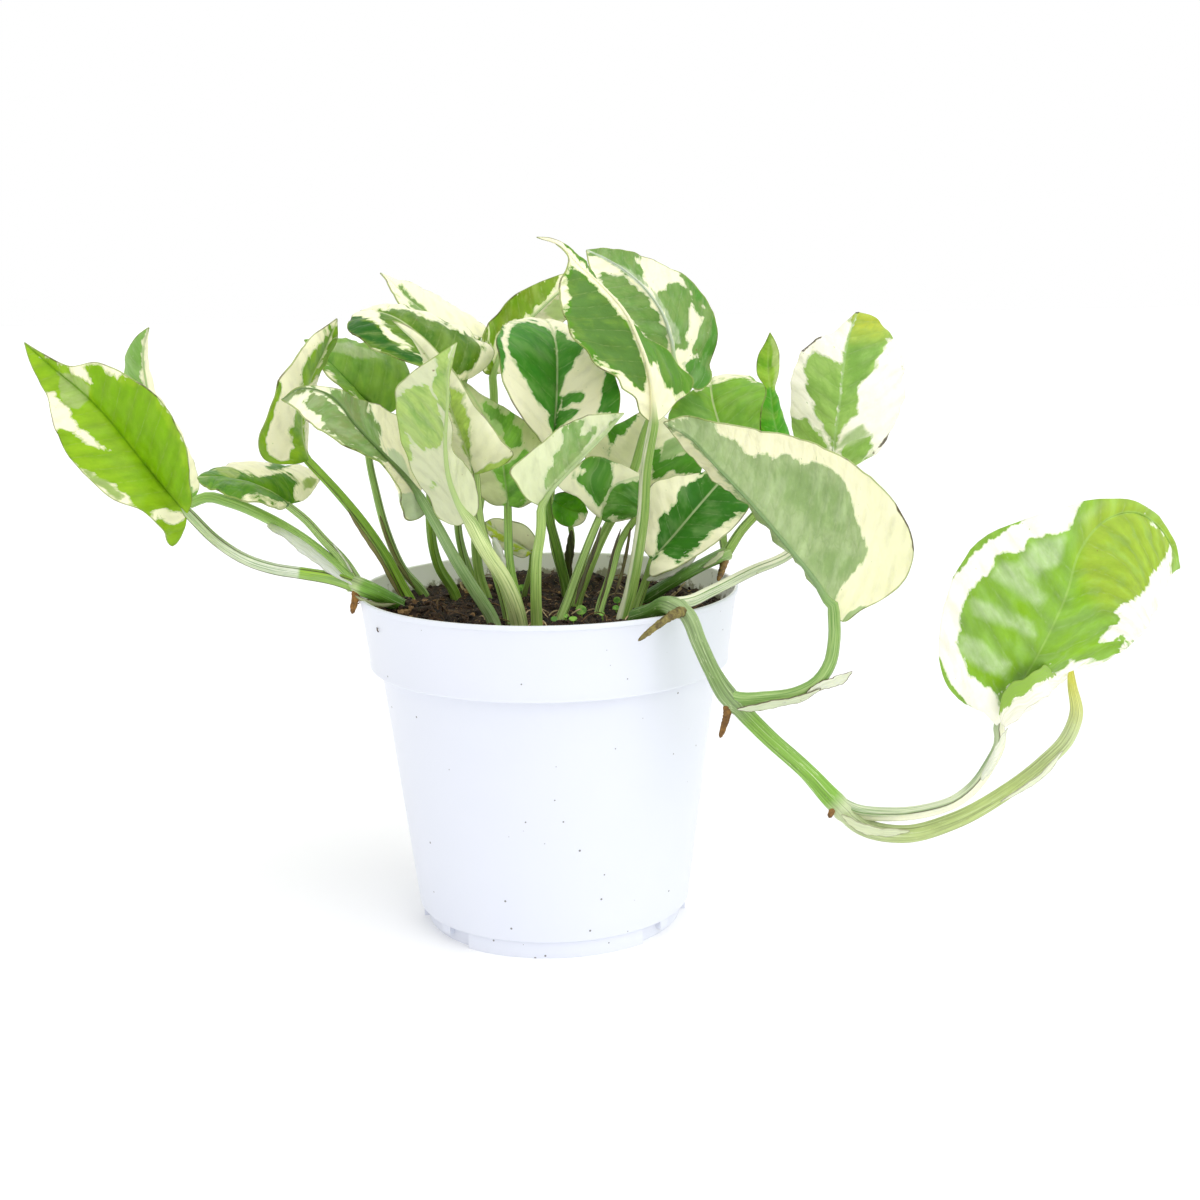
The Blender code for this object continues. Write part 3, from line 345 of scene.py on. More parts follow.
        rib=[(600,518,-4), (606,498,-6), (614,486,-6), (628,480,-4), (644,476,0)],
        one=[(592,512,-8), (575,495,-12), (556,483,-14), (572,470,-12), (586,459,-8), (600,457,-5),
            (613,461,-3), (628,469,-1)],
        other=[(607,522,-4), (625,520,-3), (638,515,-2), (646,500,-1), (648,487,0)],
        stalk=[(590,540,-6), (580,566,-9), (568,600,-12), (560,622,-13)],
    ),
    "small_round": dict(
        seen="upper", thick=(2.2, 1.7),
        rib=[(554,500,9), (563,506,6), (574,511,5), (588,512,7)],
        one=[(556,494,6), (568,492,3), (580,497,4)],
        other=[(552,512,6), (560,524,4), (572,527,3), (583,522,5)],
        stalk=[(560,500,12), (572,535,14), (567,575,20), (573,598,26)],
    ),
    "small_cream": dict(
        seen="upper", thick=(2.0, 1.6),
        rib=[(532,552,6), (515,542,4), (500,532,4), (485,522,6)],
        one=[(536,540,4), (525,525,2), (508,520,2), (494,518,4)],
        other=[(525,557,6), (510,553,6), (498,545,6), (488,532,6)],
        stalk=[(531,568,9), (526,588,14), (523,602,19)],
    ),
    "rear_middle": dict(
        seen="upper", thick=(2.8, 2.2),
        rib=[(562,402,55), (566,387,66), (572,380,78), (578,382,92), (584,393,104)],
        one=[(545,407,53), (524,402,62), (518,394,76), (530,390,92), (560,392,102)],
        other=[(578,407,53), (604,402,63), (616,396,78), (608,392,94), (592,394,103)],
        stalk=[(560,430,49), (552,480,42), (553,540,38), (566,592,38)],
    ),
    "rear_left": dict(
        seen="upper", thick=(2.8, 2.2),
        rib=[(436,414,52), (430,398,62), (421,390,76), (413,392,90), (404,404,103)],
        one=[(426,420,50), (408,412,60), (388,404,74), (384,400,88), (394,402,99)],
        other=[(447,419,52), (460,406,64), (458,396,79), (438,394,94), (418,399,101)],
        stalk=[(442,430,49), (450,465,44), (456,500,41), (459,535,39), (476,596,38)],
    ),
    "rear_right": dict(
        seen="upper", thick=(2.8, 2.2),
        rib=[(642,386,52), (650,368,64), (659,357,78), (668,357,92), (676,368,104)],
        one=[(634,388,51), (622,374,63), (628,361,78), (648,356,93), (664,360,102)],
        other=[(654,391,53), (680,382,62), (694,370,76), (694,362,92), (684,364,101)],
        stalk=[(642,400,48), (643,450,42), (643,516,37), (638,552,35), (630,596,33)],
    ),
    "trailing_hanging": dict(
        seen="under", thick=(4.0, 3.4),
        rib=[(833,607,-50), (814,578,-48), (796,556,-46), (765,518,-41), (740,490,-37), (714,463,-33),
            (692,439,-29), (663,422,-26)],
        one=[(843,622,-48), (862,610,-47), (889,595,-46), (906,578,-46), (914,553,-46), (910,530,-46),
            (898,507,-46), (881,486,-46), (852,463,-45), (822,446,-43), (789,436,-40), (755,429,-36),
            (716,422,-32), (688,416,-29)],
        other=[(826,600,-44), (806,573,-36), (793,559,-33), (774,538,-30), (747,507,-26), (720,484,-24),
            (697,463,-23), (678,440,-24)],
        stalk=[(834,639,-52), (828,667,-55), (816,683,-56), (797,693,-56), (764,698,-55), (740,699,-55),
            (723,695,-54)],
    ),
    "trailing_behind": dict(
        seen="upper", thick=(3.4, 2.6),
        rib=[(833,455,-18), (836,430,-19), (840,400,-19), (843,370,-18), (848,340,-16), (857,312,-12)],
        one=[(820,458,-16), (803,450,-14), (793,430,-12), (791,400,-12), (794,372,-12), (801,352,-12),
            (815,341,-12), (835,332,-12), (848,320,-12)],
        other=[(850,466,-16), (868,458,-14), (884,444,-12), (895,425,-10), (903,395,-8), (904,370,-7),
            (898,350,-7), (889,333,-8), (875,317,-10)],
        stalk=[(832,485,-17), (820,520,-18), (790,553,-22), (751,571,-30), (709,592,-40), (686,602,-47),
            (671,604,-49)],
    ),
    "far_right": dict(
        seen="upper", thick=(4.2, 3.2),
        rib=[(999,727,-66), (1012,698,-68), (1030,669,-70), (1052,628,-72), (1068,590,-73), (1078,555,-72),
            (1098,526,-68), (1130,512,-62), (1160,528,-55), (1180,568,-50)],
        one=[(985,715,-68), (958,697,-72), (943,675,-74), (939,655,-75), (942,615,-76), (952,581,-77),
            (979,541,-76), (1023,520,-73), (1060,508,-70), (1093,500,-66), (1134,501,-60), (1162,521,-54),
            (1176,548,-51)],
        other=[(1010,722,-64), (1035,705,-62), (1068,672,-60), (1100,662,-60), (1132,643,-60),
            (1150,620,-60), (1163,590,-58), (1172,573,-54)],
        stalk=[(1000,740,-66), (989,765,-67), (975,785,-67), (955,801,-67), (928,810,-66), (885,814,-64),
            (856,811,-62), (834,801,-62)],
    ),
}

# Stems that carry leaves: their course out of the soil, their thickness along it, and the leaves, aerial
# roots and sheaths on them
VINES = {
    "vine_right": dict(
        course=[(636,616,-30), (652,611,-38), (673,606,-50), (686,614,-54), (699,643,-55), (712,671,-55),
            (726,694,-54), (744,713,-55), (769,738,-58), (806,771,-61), (834,801,-62), (864,827,-62),
            (902,834,-62), (953,821,-60), (1004,793,-57), (1042,764,-54), (1067,738,-52), (1076,714,-51),
            (1072,685,-51), (1069,656,-51)],
        thick=[4.6, 4.8, 5.4, 4.8, 4.6, 4.6, 5.8, 5.0, 4.8, 4.8, 6.0, 5.4, 5.2, 4.9, 4.5, 4.3, 4.4, 4.0, 2.7,
            0.9],
        leaves=["trailing_behind", "trailing_hanging", "far_right"],
        roots=[
            ([(687,611,-51), (671,616,-61), (654,628,-64), (638,641,-65)], 3.6, "#4A3C1A", "#8E8448"),
            ([(728,698,-54), (727,714,-56), (720,738,-57)], 2.9, "#5E3E16", "#8E6830"),
            ([(836,802,-62), (832,811,-64), (829,818,-65)], 2.6, "#5E3E16", "#98703A"),
        ],
        tones=((0.0, "#4C7E24"), (0.14, "#5E8E2E"), (0.165, "#9DB67C"), (0.28, "#7F9E58"), (0.33, "#9AB678"),
            (0.36, "#86B444"), (0.5, "#84B83C"), (0.52, "#C8D6A6"), (0.62, "#B8CA80"), (0.78, "#BCCF7E"),
            (0.89, "#C8D69A"), (0.94, "#DCE27E"), (0.97, "#ECEA58"), (1.0, "#F0EC52")),
        sheaths=[
            ([(736,712,-58), (752,712,-58), (776,707,-58), (800,702,-58), (824,690,-58)], [(738,706,-60),
             (754,704,-61), (776,700,-61), (798,696,-60), (818,687,-59)], "#D8E0C2", 0.6, 0.3),
            ([(808,697,-58), (824,689,-57), (840,685,-56), (855,673,-55)], [(804,690,-59), (822,681,-58),
             (836,676,-57), (849,670,-56)], "#E6EAD4", 0.8, 0.5),
            ([(840,818,-66), (856,830,-66), (880,836,-65), (910,834,-64)], [(843,811,-67), (860,822,-68),
             (882,828,-67), (910,828,-66)], "#D6DEB8", 0.2, 0.2),
            ([(1000,800,-64), (1020,788,-63), (1042,772,-61), (1060,750,-58)], [(1001,803,-63),
             (1023,791,-62), (1045,776,-60), (1065,751,-57)], "#E4EACE", 0.2, 0.1),
        ],
    ),
    "vine_left": dict(
        course=[(412,613,1), (400,605,-5), (386,598,-11), (372,591,-14), (360,586,-12), (352,583,-9)],
        thick=[4.6, 4.8, 5.0, 5.2, 5.6, 4.6],
        leaves=["far_left", "left_edge_on", "left_low"],
        roots=[
            ([(358,587,-11), (355,600,-14), (352,614,-15)], 3.4, "#5E3E16", "#9E7234"),
        ],
        tones=((0.0, "#4C7E24"), (0.1, "#5C9426"), (0.14, "#7AB038"), (0.148, "#B4CC8A"), (1.0, "#C0D6A0")),
        sheaths=[
            ([(262,526,-2), (281,536,-4), (298,550,-7), (319,566,-10), (340,580,-13), (356,589,-15)],
             [(274,522,4), (295,535,0), (315,549,-3), (333,563,-6), (347,576,-9), (359,586,-13)],
             "#EEF2EC", 0.0, 0.6, (0.1,0.3)),
            ([(354,597,-17), (366,604,-18), (380,607,-17), (396,605,-14)], [(356,594,-17), (368,600,-18),
             (382,603,-17), (396,602,-14)], "#A8AE84", 0.4, 0.2),
            ([(334,545,-6), (345,562,-9), (352,575,-12)], [(331,541,-5), (341,554,-7), (353,571,-10)],
             "#DDE2D0", 0.3, 0.2),
        ],
    ),
    "vine_rear": dict(
        course=[(634,606,8), (656,592,4), (682,576,1), (706,563,8), (726,554,18)],
        thick=[4.2, 4.2, 4.0, 4.0, 4.8],
        leaves=["right_behind", "right_slim"],
        roots=[
            ([(725,558,19), (723,567,11), (718,581,3)], 3.0, "#4E3818", "#96763E"),
        ],
        tones=((0.0, "#4E7E26"), (0.1, "#588A28"), (0.2, "#6FA034"), (0.24, "#A8C07C"), (1.0, "#A8C07C")),
        sheaths=[
            ([(702,566,2), (713,558,6), (722,549,12)], [(704,570,0), (716,562,4), (726,553,11)],
             "#C9CFA8", 0.3, 0.3),
            ([(645,576,-4), (660,570,-4), (680,556,-4), (697,543,-4)], [(648,584,-4), (664,579,-4),
             (684,568,-4), (704,554,-4)], "#E4E8DA", 0.1, 0.4),
        ],
    ),
}

# Old sheaths left on the leaf stalks and a folded lobe: their two edges, their colour, how far they are
# browned, how far they bulge, the shares of their length that taper and a second colour. The near-black
# ones low in the middle are old sheaths whose dark colour is also painted shade between the stalks.
SHEATHS = {
    "far_right": [
        ([(999,701,-74), (1008,688,-75), (1030,673,-76), (1052,665,-66), (1070,660,-48)], [(1000,729,-70),
         (1012,722,-72), (1035,704,-74), (1056,688,-65), (1072,671,-47)], "#8DB63C", 0.0, 1.0, (0.04,0.2),
         "#FDFBE6"),
        ([(988,760,-70), (996,746,-71), (1003,733,-70), (1007,727,-69)], [(976,790,-70), (988,776,-71),
         (999,756,-71), (1008,729,-69)], "#E9EDDA", 0.0, 0.4),
    ],
    "crescent": [
        ([(346,510,2), (357,528,5), (379,561,8), (394,589,11), (402,603,12)], [(349,509,2), (361,527,5),
         (383,560,8), (398,588,11), (406,602,12)], "#8E8450", 0.4, 0.1),
    ],
    "left_behind": [
        ([(378,516,24), (386,540,23), (398,566,23), (414,590,22)], [(382,515,24), (389,539,23), (401,564,23),
         (416,587,22)], "#6E6A34", 0.6, 0.2),
    ],
    "front_left": [
        ([(494,558,-44), (501,574,-43), (508,590,-41), (514,608,-38)], [(498,556,-44), (506,572,-43),
         (513,588,-41), (518,606,-38)], "#C8B078", 0.5, 0.2),
    ],
    "front_cream": [
        ([(490,539,-26), (496,556,-25), (503,572,-23)], [(497,535,-26), (503,552,-25), (508,568,-23)],
         "#E2E5DA", 0.1, 0.4),
    ],
    # These three leaves' near-black sheaths, low in the middle among the stalks, are partly painted shade:
    # their dark stands for the shade between the stalks.
    "small_round": [
        ([(568,530,8), (566,548,10), (565,562,12), (568,586,16)], [(575,530,8), (574,549,10), (572,565,12),
         (572,586,16)], "#2C2416", 0.8, 0.8),
    ],
    "small_dark": [
        ([(600,526,-9), (594,545,-11), (586,566,-13), (577,590,-14), (573,604,-15)], [(602,527,-9),
         (597,547,-11), (589,568,-13), (581,592,-14), (577,605,-15)], "#332C18", 0.5, 0.2),
    ],
    "behind_stalks": [
        ([(620,528,-9), (613,548,-10), (606,578,-12), (597,612,-14)], [(622,529,-9), (615,550,-10),
         (608,579,-12), (599,612,-14)], "#2C2414", 0.5, 0.1),
        ([(629,528,-2), (625,552,-3), (619,578,-5), (613,596,-7)], [(632,528,-2), (628,552,-3), (622,578,-5),
         (616,597,-7)], "#4E4420", 0.6, 0.2),
    ],
}

# The deep patches of the top right leaf, which are part of its green too
TOP_RIGHT_DEEP = [[(684,277), (699,290), (710,306), (718,323), (719,336), (714,351), (705,363), (698,359),
    (704,345), (711,327), (709,313), (697,299), (688,284)], [(683,365), (694,359), (705,364), (711,377),
    (709,386), (702,392), (693,389), (691,377)]]

# Where each blade is green, deeper green, pale, brown or gold, as outlines in the camera's picture; the rest
# is cream. The leaves that stand behind the others have theirs in shares of the blade: across from -1 to 1,
# and along.
MARKINGS = {
    "far_left": dict(
        green=[[(27,347), (47,362), (64,371), (83,378), (92,384), (87,368), (96,366), (108,374), (115,379),
            (127,384), (129,381), (142,389), (152,399), (162,411), (173,425), (181,444), (189,462),
            (190,484), (190,505), (187,514), (173,510), (164,507), (156,510), (145,512), (137,503),
            (123,490), (108,481), (93,471), (80,464), (68,452), (62,438), (62,430), (74,434), (87,442),
            (92,446), (100,452), (112,451), (104,446), (95,439), (92,433), (82,428), (71,418), (71,410),
            (63,403), (55,393), (49,386), (39,383), (32,370), (27,352)], [(159,522), (174,525), (192,514),
            (189,528), (180,543), (173,546), (167,541), (162,531)]],
        deep=[[(87,368), (96,366), (108,374), (127,384), (142,389), (162,411), (181,444), (187,480),
            (187,508), (170,490), (140,455), (110,420), (92,396)]],
        pale=[[(58,372), (66,372), (83,378), (92,386), (88,400), (78,408), (66,404), (60,390)], [(82,466),
            (93,472), (108,482), (122,491), (127,496), (120,500), (111,497), (98,487), (86,476)]],
    ),
    "left_edge_on": dict(
        green=[[(143,328), (131,339), (126,352), (125,375), (140,430), (165,480), (195,500), (185,470),
            (160,430), (141,379), (142,350)]],
    ),
    "left_low": dict(
        green=[[(193,477), (206,472), (222,467), (236,470), (243,473), (257,479), (267,477), (279,475),
            (287,475), (298,483), (294,487), (294,495), (295,501), (292,504), (279,502), (270,499),
            (255,495), (238,496), (219,490), (206,487), (198,482)], [(265,469), (270,465), (285,464),
            (287,468), (276,470)]],
        pale=[[(216,468), (232,468), (240,474), (232,478), (220,474)], [(302,481), (310,478), (316,480),
            (312,488), (304,490)]],
    ),
    "crescent": dict(
        green=[[(323,343), (311,356), (304,367), (301,380), (302,386), (313,385), (318,367), (327,347),
            (334,330), (330,330)], [(334,330), (327,347), (319,366), (316,378), (321,374), (329,356),
            (333,342), (336,330)], [(279,385), (270,400), (262,420), (256,445), (262,464), (272,467),
            (290,465), (289,461), (281,462), (276,460), (268,454), (265,449), (268,444), (265,439),
            (266,435), (269,423), (271,410), (276,398), (280,388)], [(298,408), (294,418), (292,426),
            (290,431), (293,436), (291,441), (293,447), (290,453), (288,461), (296,466), (310,467),
            (312,458), (306,448), (304,436), (304,412), (301,408)]],
    ),
    "left_arching": dict(
        green=[[(325,394), (334,392), (349,398), (364,405), (373,415), (378,426), (380,436), (382,447),
            (388,461), (364,436), (342,410)], [(305,403), (311,397), (322,395), (329,402), (338,408),
            (364,436), (388,461), (382,462), (372,456), (360,450), (347,443), (334,434), (326,427),
            (324,419), (318,414), (309,409)], [(284,400), (290,393), (300,390), (314,391), (300,393),
            (290,398)]],
        pale=[[(384,445), (404,459), (412,480), (408,486), (395,470), (387,460)], [(398,494), (410,492),
            (425,498), (426,518), (412,522), (402,512)]],
    ),
    "left_behind": dict(
        green=[[(303,341), (322,338), (350,337), (380,345), (404,360), (412,368), (404,392), (391,414),
            (372,408), (358,398), (345,388), (330,370), (312,350)]],
        pale=[[(320,343), (345,343), (372,350), (385,360), (360,358), (335,352)]],
    ),
    "upper_left_broad": dict(
        green=[[(378,311), (396,309), (409,311), (424,318), (443,324), (457,331), (471,338), (483,349),
            (477,360), (473,367), (462,374), (450,380), (436,372), (424,360), (409,346), (397,338),
            (388,328), (381,319)], [(349,321), (359,318), (370,320), (378,327), (383,335), (391,342),
            (402,348), (413,353), (424,359), (420,364), (410,362), (396,356), (378,347), (362,337),
            (349,331), (346,325)]],
        deep=[[(349,321), (359,318), (370,320), (378,327), (383,335), (391,342), (402,348), (413,353),
            (424,359), (420,364), (410,362), (396,354), (378,345), (362,335), (349,330), (346,325)]],
    ),
    "upper_left_cream": dict(
        green=[[(399,286), (403,290), (412,299), (424,307), (427,314), (419,312), (409,302), (402,294)]],
    ),
    "front_left": dict(
        green=[[(410,387), (417,385), (428,387), (431,393), (436,403), (442,415), (444,422), (444,437),
            (439,447), (428,450), (418,444), (409,437), (402,425), (399,415), (399,401), (403,394)],
            [(441,357), (447,349), (449,359), (450,378), (450,393), (446,410), (440,406), (436,397),
            (433,385), (436,372)], [(402,426), (406,438), (411,456), (408,451), (402,440), (400,431)],
            [(431,482), (435,480), (437,486), (433,488)]],
        brown=[[(433,370), (435,370), (435,372), (433,372)], [(431,401), (433,401), (433,403), (431,403)]],
    ),
    "front_cream": dict(
        green=[[(450,384), (455,390), (462,399), (467,412), (469,422), (470,437), (469,451), (471,464),
            (466,453), (459,431), (452,415), (449,407)], [(478,474), (487,466), (503,461), (512,458),
            (505,466), (491,475), (481,481)]],
    ),
    "middle_left": dict(
        green=[[(480,403), (486,403), (497,410), (509,418), (518,428), (521,437), (519,446), (512,449),
            (508,447), (503,438), (502,429), (494,425), (489,422), (487,416), (483,407)], [(525,450),
            (531,456), (535,472), (530,492), (516,506), (508,503), (505,490), (497,478), (492,470),
            (505,465), (516,458)]],
        pale=[[(489,424), (495,420), (502,428), (504,438), (498,436), (492,430)]],
    ),
    "upper_middle": dict(
        green=[[(491,319), (505,306), (519,296), (528,290), (555,279), (556,288), (541,302), (531,313),
            (521,318), (505,325), (497,334), (493,349), (488,341), (490,330)], [(486,338), (492,350),
            (494,372), (489,374), (486,356)]],
        pale=[[(543,312), (553,299), (560,299), (565,318), (556,318)]],
    ),
    "middle_heart": dict(
        green=[[(508,334), (515,325), (528,321), (537,323), (538,328), (543,326), (550,332), (554,343),
            (557,356), (556,328), (566,334), (569,340), (576,341), (581,347), (578,357), (571,369),
            (565,376), (562,390), (559,407), (556,422), (552,435), (549,426), (549,415), (538,401),
            (527,384), (518,366), (509,352), (507,341)], [(563,398), (577,393), (583,394), (582,400),
            (569,405), (562,408)], [(559,411), (571,407), (578,410), (577,415), (565,421), (557,428)],
            [(605,371), (616,376), (625,387), (627,398), (627,410), (609,413), (597,413), (600,405),
            (598,400), (602,393), (604,383)], [(497,335), (501,330), (500,345), (501,360), (502,370),
            (498,362), (496,350)]],
    ),
    "top_folded": dict(
        green=[[(573,267), (568,275), (566,286), (571,299), (568,304), (569,314), (571,326), (577,336),
            (584,343), (587,349), (596,357), (606,365), (616,370), (622,372), (629,379), (637,387),
            (642,391), (646,383), (645,368), (641,358), (637,345), (632,332), (623,319), (611,305),
            (601,291), (588,281), (581,273)], [(569,245), (582,251), (591,262), (599,272), (605,285),
            (596,278), (585,264), (575,254)], [(630,324), (646,334), (661,345), (674,355), (684,366),
            (692,378), (695,386), (688,390), (680,393), (673,396), (671,390), (665,387), (664,380),
            (659,369), (657,362), (650,364), (642,352), (637,340)]],
        deep=[[(573,267), (566,286), (568,304), (571,326), (584,343), (596,357), (616,370), (637,387),
            (644,391), (646,383), (645,368), (637,345), (623,319), (601,291), (588,281)]],
    ),
    "top_right": dict(
        green=[[(590,250), (604,248), (622,250), (634,257), (640,266), (642,273), (642,283), (632,277),
            (619,268), (604,259)], [(602,273), (613,277), (623,277), (634,285), (647,299), (657,314),
            (666,332), (668,343), (665,349), (645,335), (629,319), (616,301), (604,285)], [(656,294),
            (665,291), (668,285), (678,282), (683,285), (688,292), (692,301), (689,313), (688,327),
            (685,335), (689,345), (687,349), (675,349), (674,338), (670,322), (660,305)], [(693,296),
            (699,302), (709,314), (711,325), (705,345), (702,355), (693,355), (692,350), (697,336),
            (704,322), (706,318), (698,314), (693,306)], *TOP_RIGHT_DEEP],
        deep=TOP_RIGHT_DEEP,
        pale=[[(609,262), (630,275), (650,290), (661,308), (671,330), (675,343), (680,344), (676,330),
            (666,307), (654,291), (640,279), (622,267)]],
    ),
    "right_behind": dict(
        green=[[(664,418), (676,404), (690,394), (704,390), (712,384), (735,378), (752,381), (768,388),
            (775,402), (776,420), (776,445), (758,468), (738,474), (720,474), (698,457), (678,437)]],
        deep=[[(664,416), (683,395), (702,391), (711,416), (700,430), (680,430)]],
    ),
    "right_slim": dict(
        green=[[(748,326), (800,326), (806,482), (742,482)]],
        deep=[[(748,390), (800,388), (806,482), (742,482)]],
        pale=[[(770,336), (782,345), (782,380), (773,386), (774,360)]],
    ),
    "right_dark": dict(
        green=[[(710,475), (728,483), (746,505), (724,523), (703,539), (687,553), (677,560), (668,557),
            (661,553), (654,561), (656,546), (660,531), (658,520), (665,512), (669,515), (671,506),
            (677,502), (682,488), (697,480)]],
    ),
    "behind_stalks": dict(
        green=[[(633,417), (620,421), (610,437), (608,455), (611,447), (617,437), (632,425)], [(652,449),
            (662,449), (661,457), (668,459), (689,450), (704,467), (696,473), (682,473), (671,470),
            (664,477), (653,478)]],
        pale=[[(662,440), (681,435), (688,450), (668,459), (660,462)]],
    ),
    "front_folded": dict(
        green=[[(571,426), (584,423), (580,437), (598,426), (597,434), (571,466), (553,482), (546,491),
            (546,479), (550,469), (556,462), (554,456), (562,444), (565,434)], [(598,438), (616,419),
            (622,418), (600,440), (572,466), (560,478), (556,476), (572,460)]],
    ),
    "small_dark": dict(
        green=[[(587,459), (606,459), (612,464), (612,477), (608,484), (605,498), (598,508), (594,499),
            (578,484), (574,478), (585,471), (582,467)], [(612,487), (626,482), (640,480), (648,490),
            (642,510), (632,515), (612,515), (602,521), (604,509), (608,495)]],
    ),
    "small_round": dict(
        green=[[(544,490), (560,484), (577,490), (583,500), (583,511), (574,521), (563,527), (554,530),
            (544,515)]],
    ),
    "small_cream": dict(
        green=[[(532,552), (515,542), (500,534), (490,526), (500,538), (515,548)]],
    ),
    "rear_middle": dict(
        shares=True,
        green=[[(-1.0,0.35), (-0.5,0.2), (-0.1,0.05), (0.25,0.1), (0.55,0.3), (0.35,0.42), (0.65,0.5),
            (0.8,0.62), (0.35,0.75), (0.1,0.95), (-0.15,0.8), (-0.45,0.62), (-0.7,0.6), (-1.0,0.5)]],
        deep=[[(-0.1,0.05), (0.25,0.1), (0.3,0.5), (0.1,0.8), (0.0,0.6)]],
    ),
    "rear_left": dict(
        shares=True,
        green=[[(-0.7,0.1), (-0.1,0.05), (-0.05,0.4), (-0.35,0.45), (-0.15,0.6), (-0.5,0.75), (-0.8,0.6),
            (-0.6,0.4), (-0.9,0.25)], [(0.2,0.3), (0.6,0.2), (1.0,0.35), (1.0,0.6), (0.7,0.8), (0.3,0.9),
            (0.1,0.7), (0.5,0.6), (0.15,0.45)]],
    ),
    "rear_right": dict(
        shares=True,
        green=[[(-0.3,0.0), (0.1,0.0), (0.5,0.15), (0.9,0.3), (0.55,0.45), (0.75,0.65), (0.3,0.8),
            (0.0,0.95), (-0.3,0.7), (-0.15,0.5), (-0.6,0.45), (-0.5,0.25)]],
        pale=[[(0.1,0.2), (0.5,0.15), (0.6,0.35), (0.25,0.45)]],
    ),
    "trailing_hanging": dict(
        green=[[(673,424), (692,419), (706,422), (721,435), (736,441), (744,452), (755,458), (761,452),
            (772,460), (786,454), (797,457), (803,466), (816,462), (833,469), (843,479), (852,500),
            (856,521), (862,538), (866,553), (854,572), (837,588), (833,600), (826,604), (802,582),
            (778,556), (760,530), (750,508), (735,488), (710,461), (690,440)], [(841,628), (849,616),
            (861,609), (860,616), (845,628)]],
        deep=[[(760,470), (800,468), (835,480), (846,505), (840,530), (810,520), (780,500)], [(800,556),
            (830,545), (858,560), (846,575), (822,580)]],
        brown=[[(894,500), (903,512), (912,532), (916,554), (914,554), (909,534), (899,513), (892,502)]],
    ),
    "trailing_behind": dict(
        green=[[(858,312), (870,316), (883,323), (889,334), (885,346), (879,353), (875,365), (866,378),
            (858,388), (857,414), (843,426), (837,439), (834,449), (834,426), (840,395), (842,367),
            (844,348), (850,332), (856,320)], [(814,352), (824,356), (835,363), (841,370), (841,388),
            (836,426), (833,446), (827,431), (818,415), (812,401), (807,382), (805,371), (808,361)],
            [(794,422), (805,420), (811,424), (821,437), (828,447), (818,445), (805,440), (797,435)],
            [(838,452), (850,441), (870,436), (872,447), (854,464)]],
        deep=[[(847,342), (866,346), (882,346), (875,366), (864,384), (851,392), (846,368)]],
        pale=[[(834,450), (843,435), (862,424), (867,433), (850,444)]],
        gold=[[(843,328), (850,312), (862,304), (878,307), (890,320), (884,328), (868,332), (854,332)]],
        brown=[[(849,313), (855,308), (864,309), (858,314)], [(801,351), (812,341), (822,336), (823,337),
            (813,343), (803,353)], [(901,360), (905,372), (906,382), (905,382), (902,370)], [(893,430),
            (884,443), (872,455), (871,454), (882,442), (891,429)]],
    ),
    # On the far right leaf, the deep patches are painted shade and the pale ones painted highlights, where
    # its blade undulates.
    "far_right": dict(
        green=[[(998,694), (986,686), (970,674), (965,656), (956,641), (961,634), (959,621), (963,608),
            (970,593), (973,583), (983,579), (991,573), (996,561), (994,556), (1001,550), (1008,553),
            (1016,552), (1021,556), (1024,546), (1029,537), (1036,539), (1046,534), (1056,535), (1066,536),
            (1069,528), (1074,520), (1084,507), (1094,501), (1112,501), (1132,503), (1142,511), (1150,521),
            (1151,528), (1162,533), (1170,541), (1169,551), (1160,563), (1151,574), (1146,588), (1134,598),
            (1116,606), (1115,613), (1120,616), (1117,621), (1109,628), (1102,636), (1097,641), (1109,642),
            (1122,636), (1127,639), (1117,649), (1104,657), (1079,659), (1056,662), (1029,671), (1012,684)],
            [(998,696), (1013,679), (1033,669), (1056,661), (1068,661), (1066,666), (1053,672), (1046,682),
            (1033,694), (1018,699), (1008,709), (1001,707)], [(947,577), (961,556), (981,537), (1001,524),
            (1021,516), (1006,526), (986,540), (966,558)], [(934,660), (941,681), (953,698), (970,709),
            (956,694), (946,678)], [(1135,503), (1150,512), (1165,525), (1176,545), (1181,562), (1177,570),
            (1170,566), (1171,552), (1166,538), (1152,520)]],
        deep=[[(1080,545), (1110,538), (1152,545), (1158,560), (1140,592), (1110,602), (1072,604)],
            [(962,640), (990,650), (1012,668), (1004,692), (985,684), (968,668)], [(1012,596), (1030,600),
            (1034,622), (1020,644), (1006,626)], [(1040,652), (1070,640), (1110,636), (1124,642), (1090,656),
            (1050,662)]],
        pale=[[(1026,545), (1064,537), (1060,560), (1038,578), (1020,566)], [(996,562), (1012,566),
            (1046,596), (1042,608), (1016,592), (992,576)], [(971,598), (990,603), (1032,622), (1034,636),
            (1004,624), (972,614)], [(960,634), (980,640), (1008,664), (1006,678), (984,670), (960,650)],
            [(1080,518), (1104,504), (1128,505), (1118,522), (1090,536)]],
        gold=[[(1088,522), (1112,500), (1144,508), (1170,536), (1166,566), (1140,600), (1104,604),
            (1084,572)]],
    ),
}
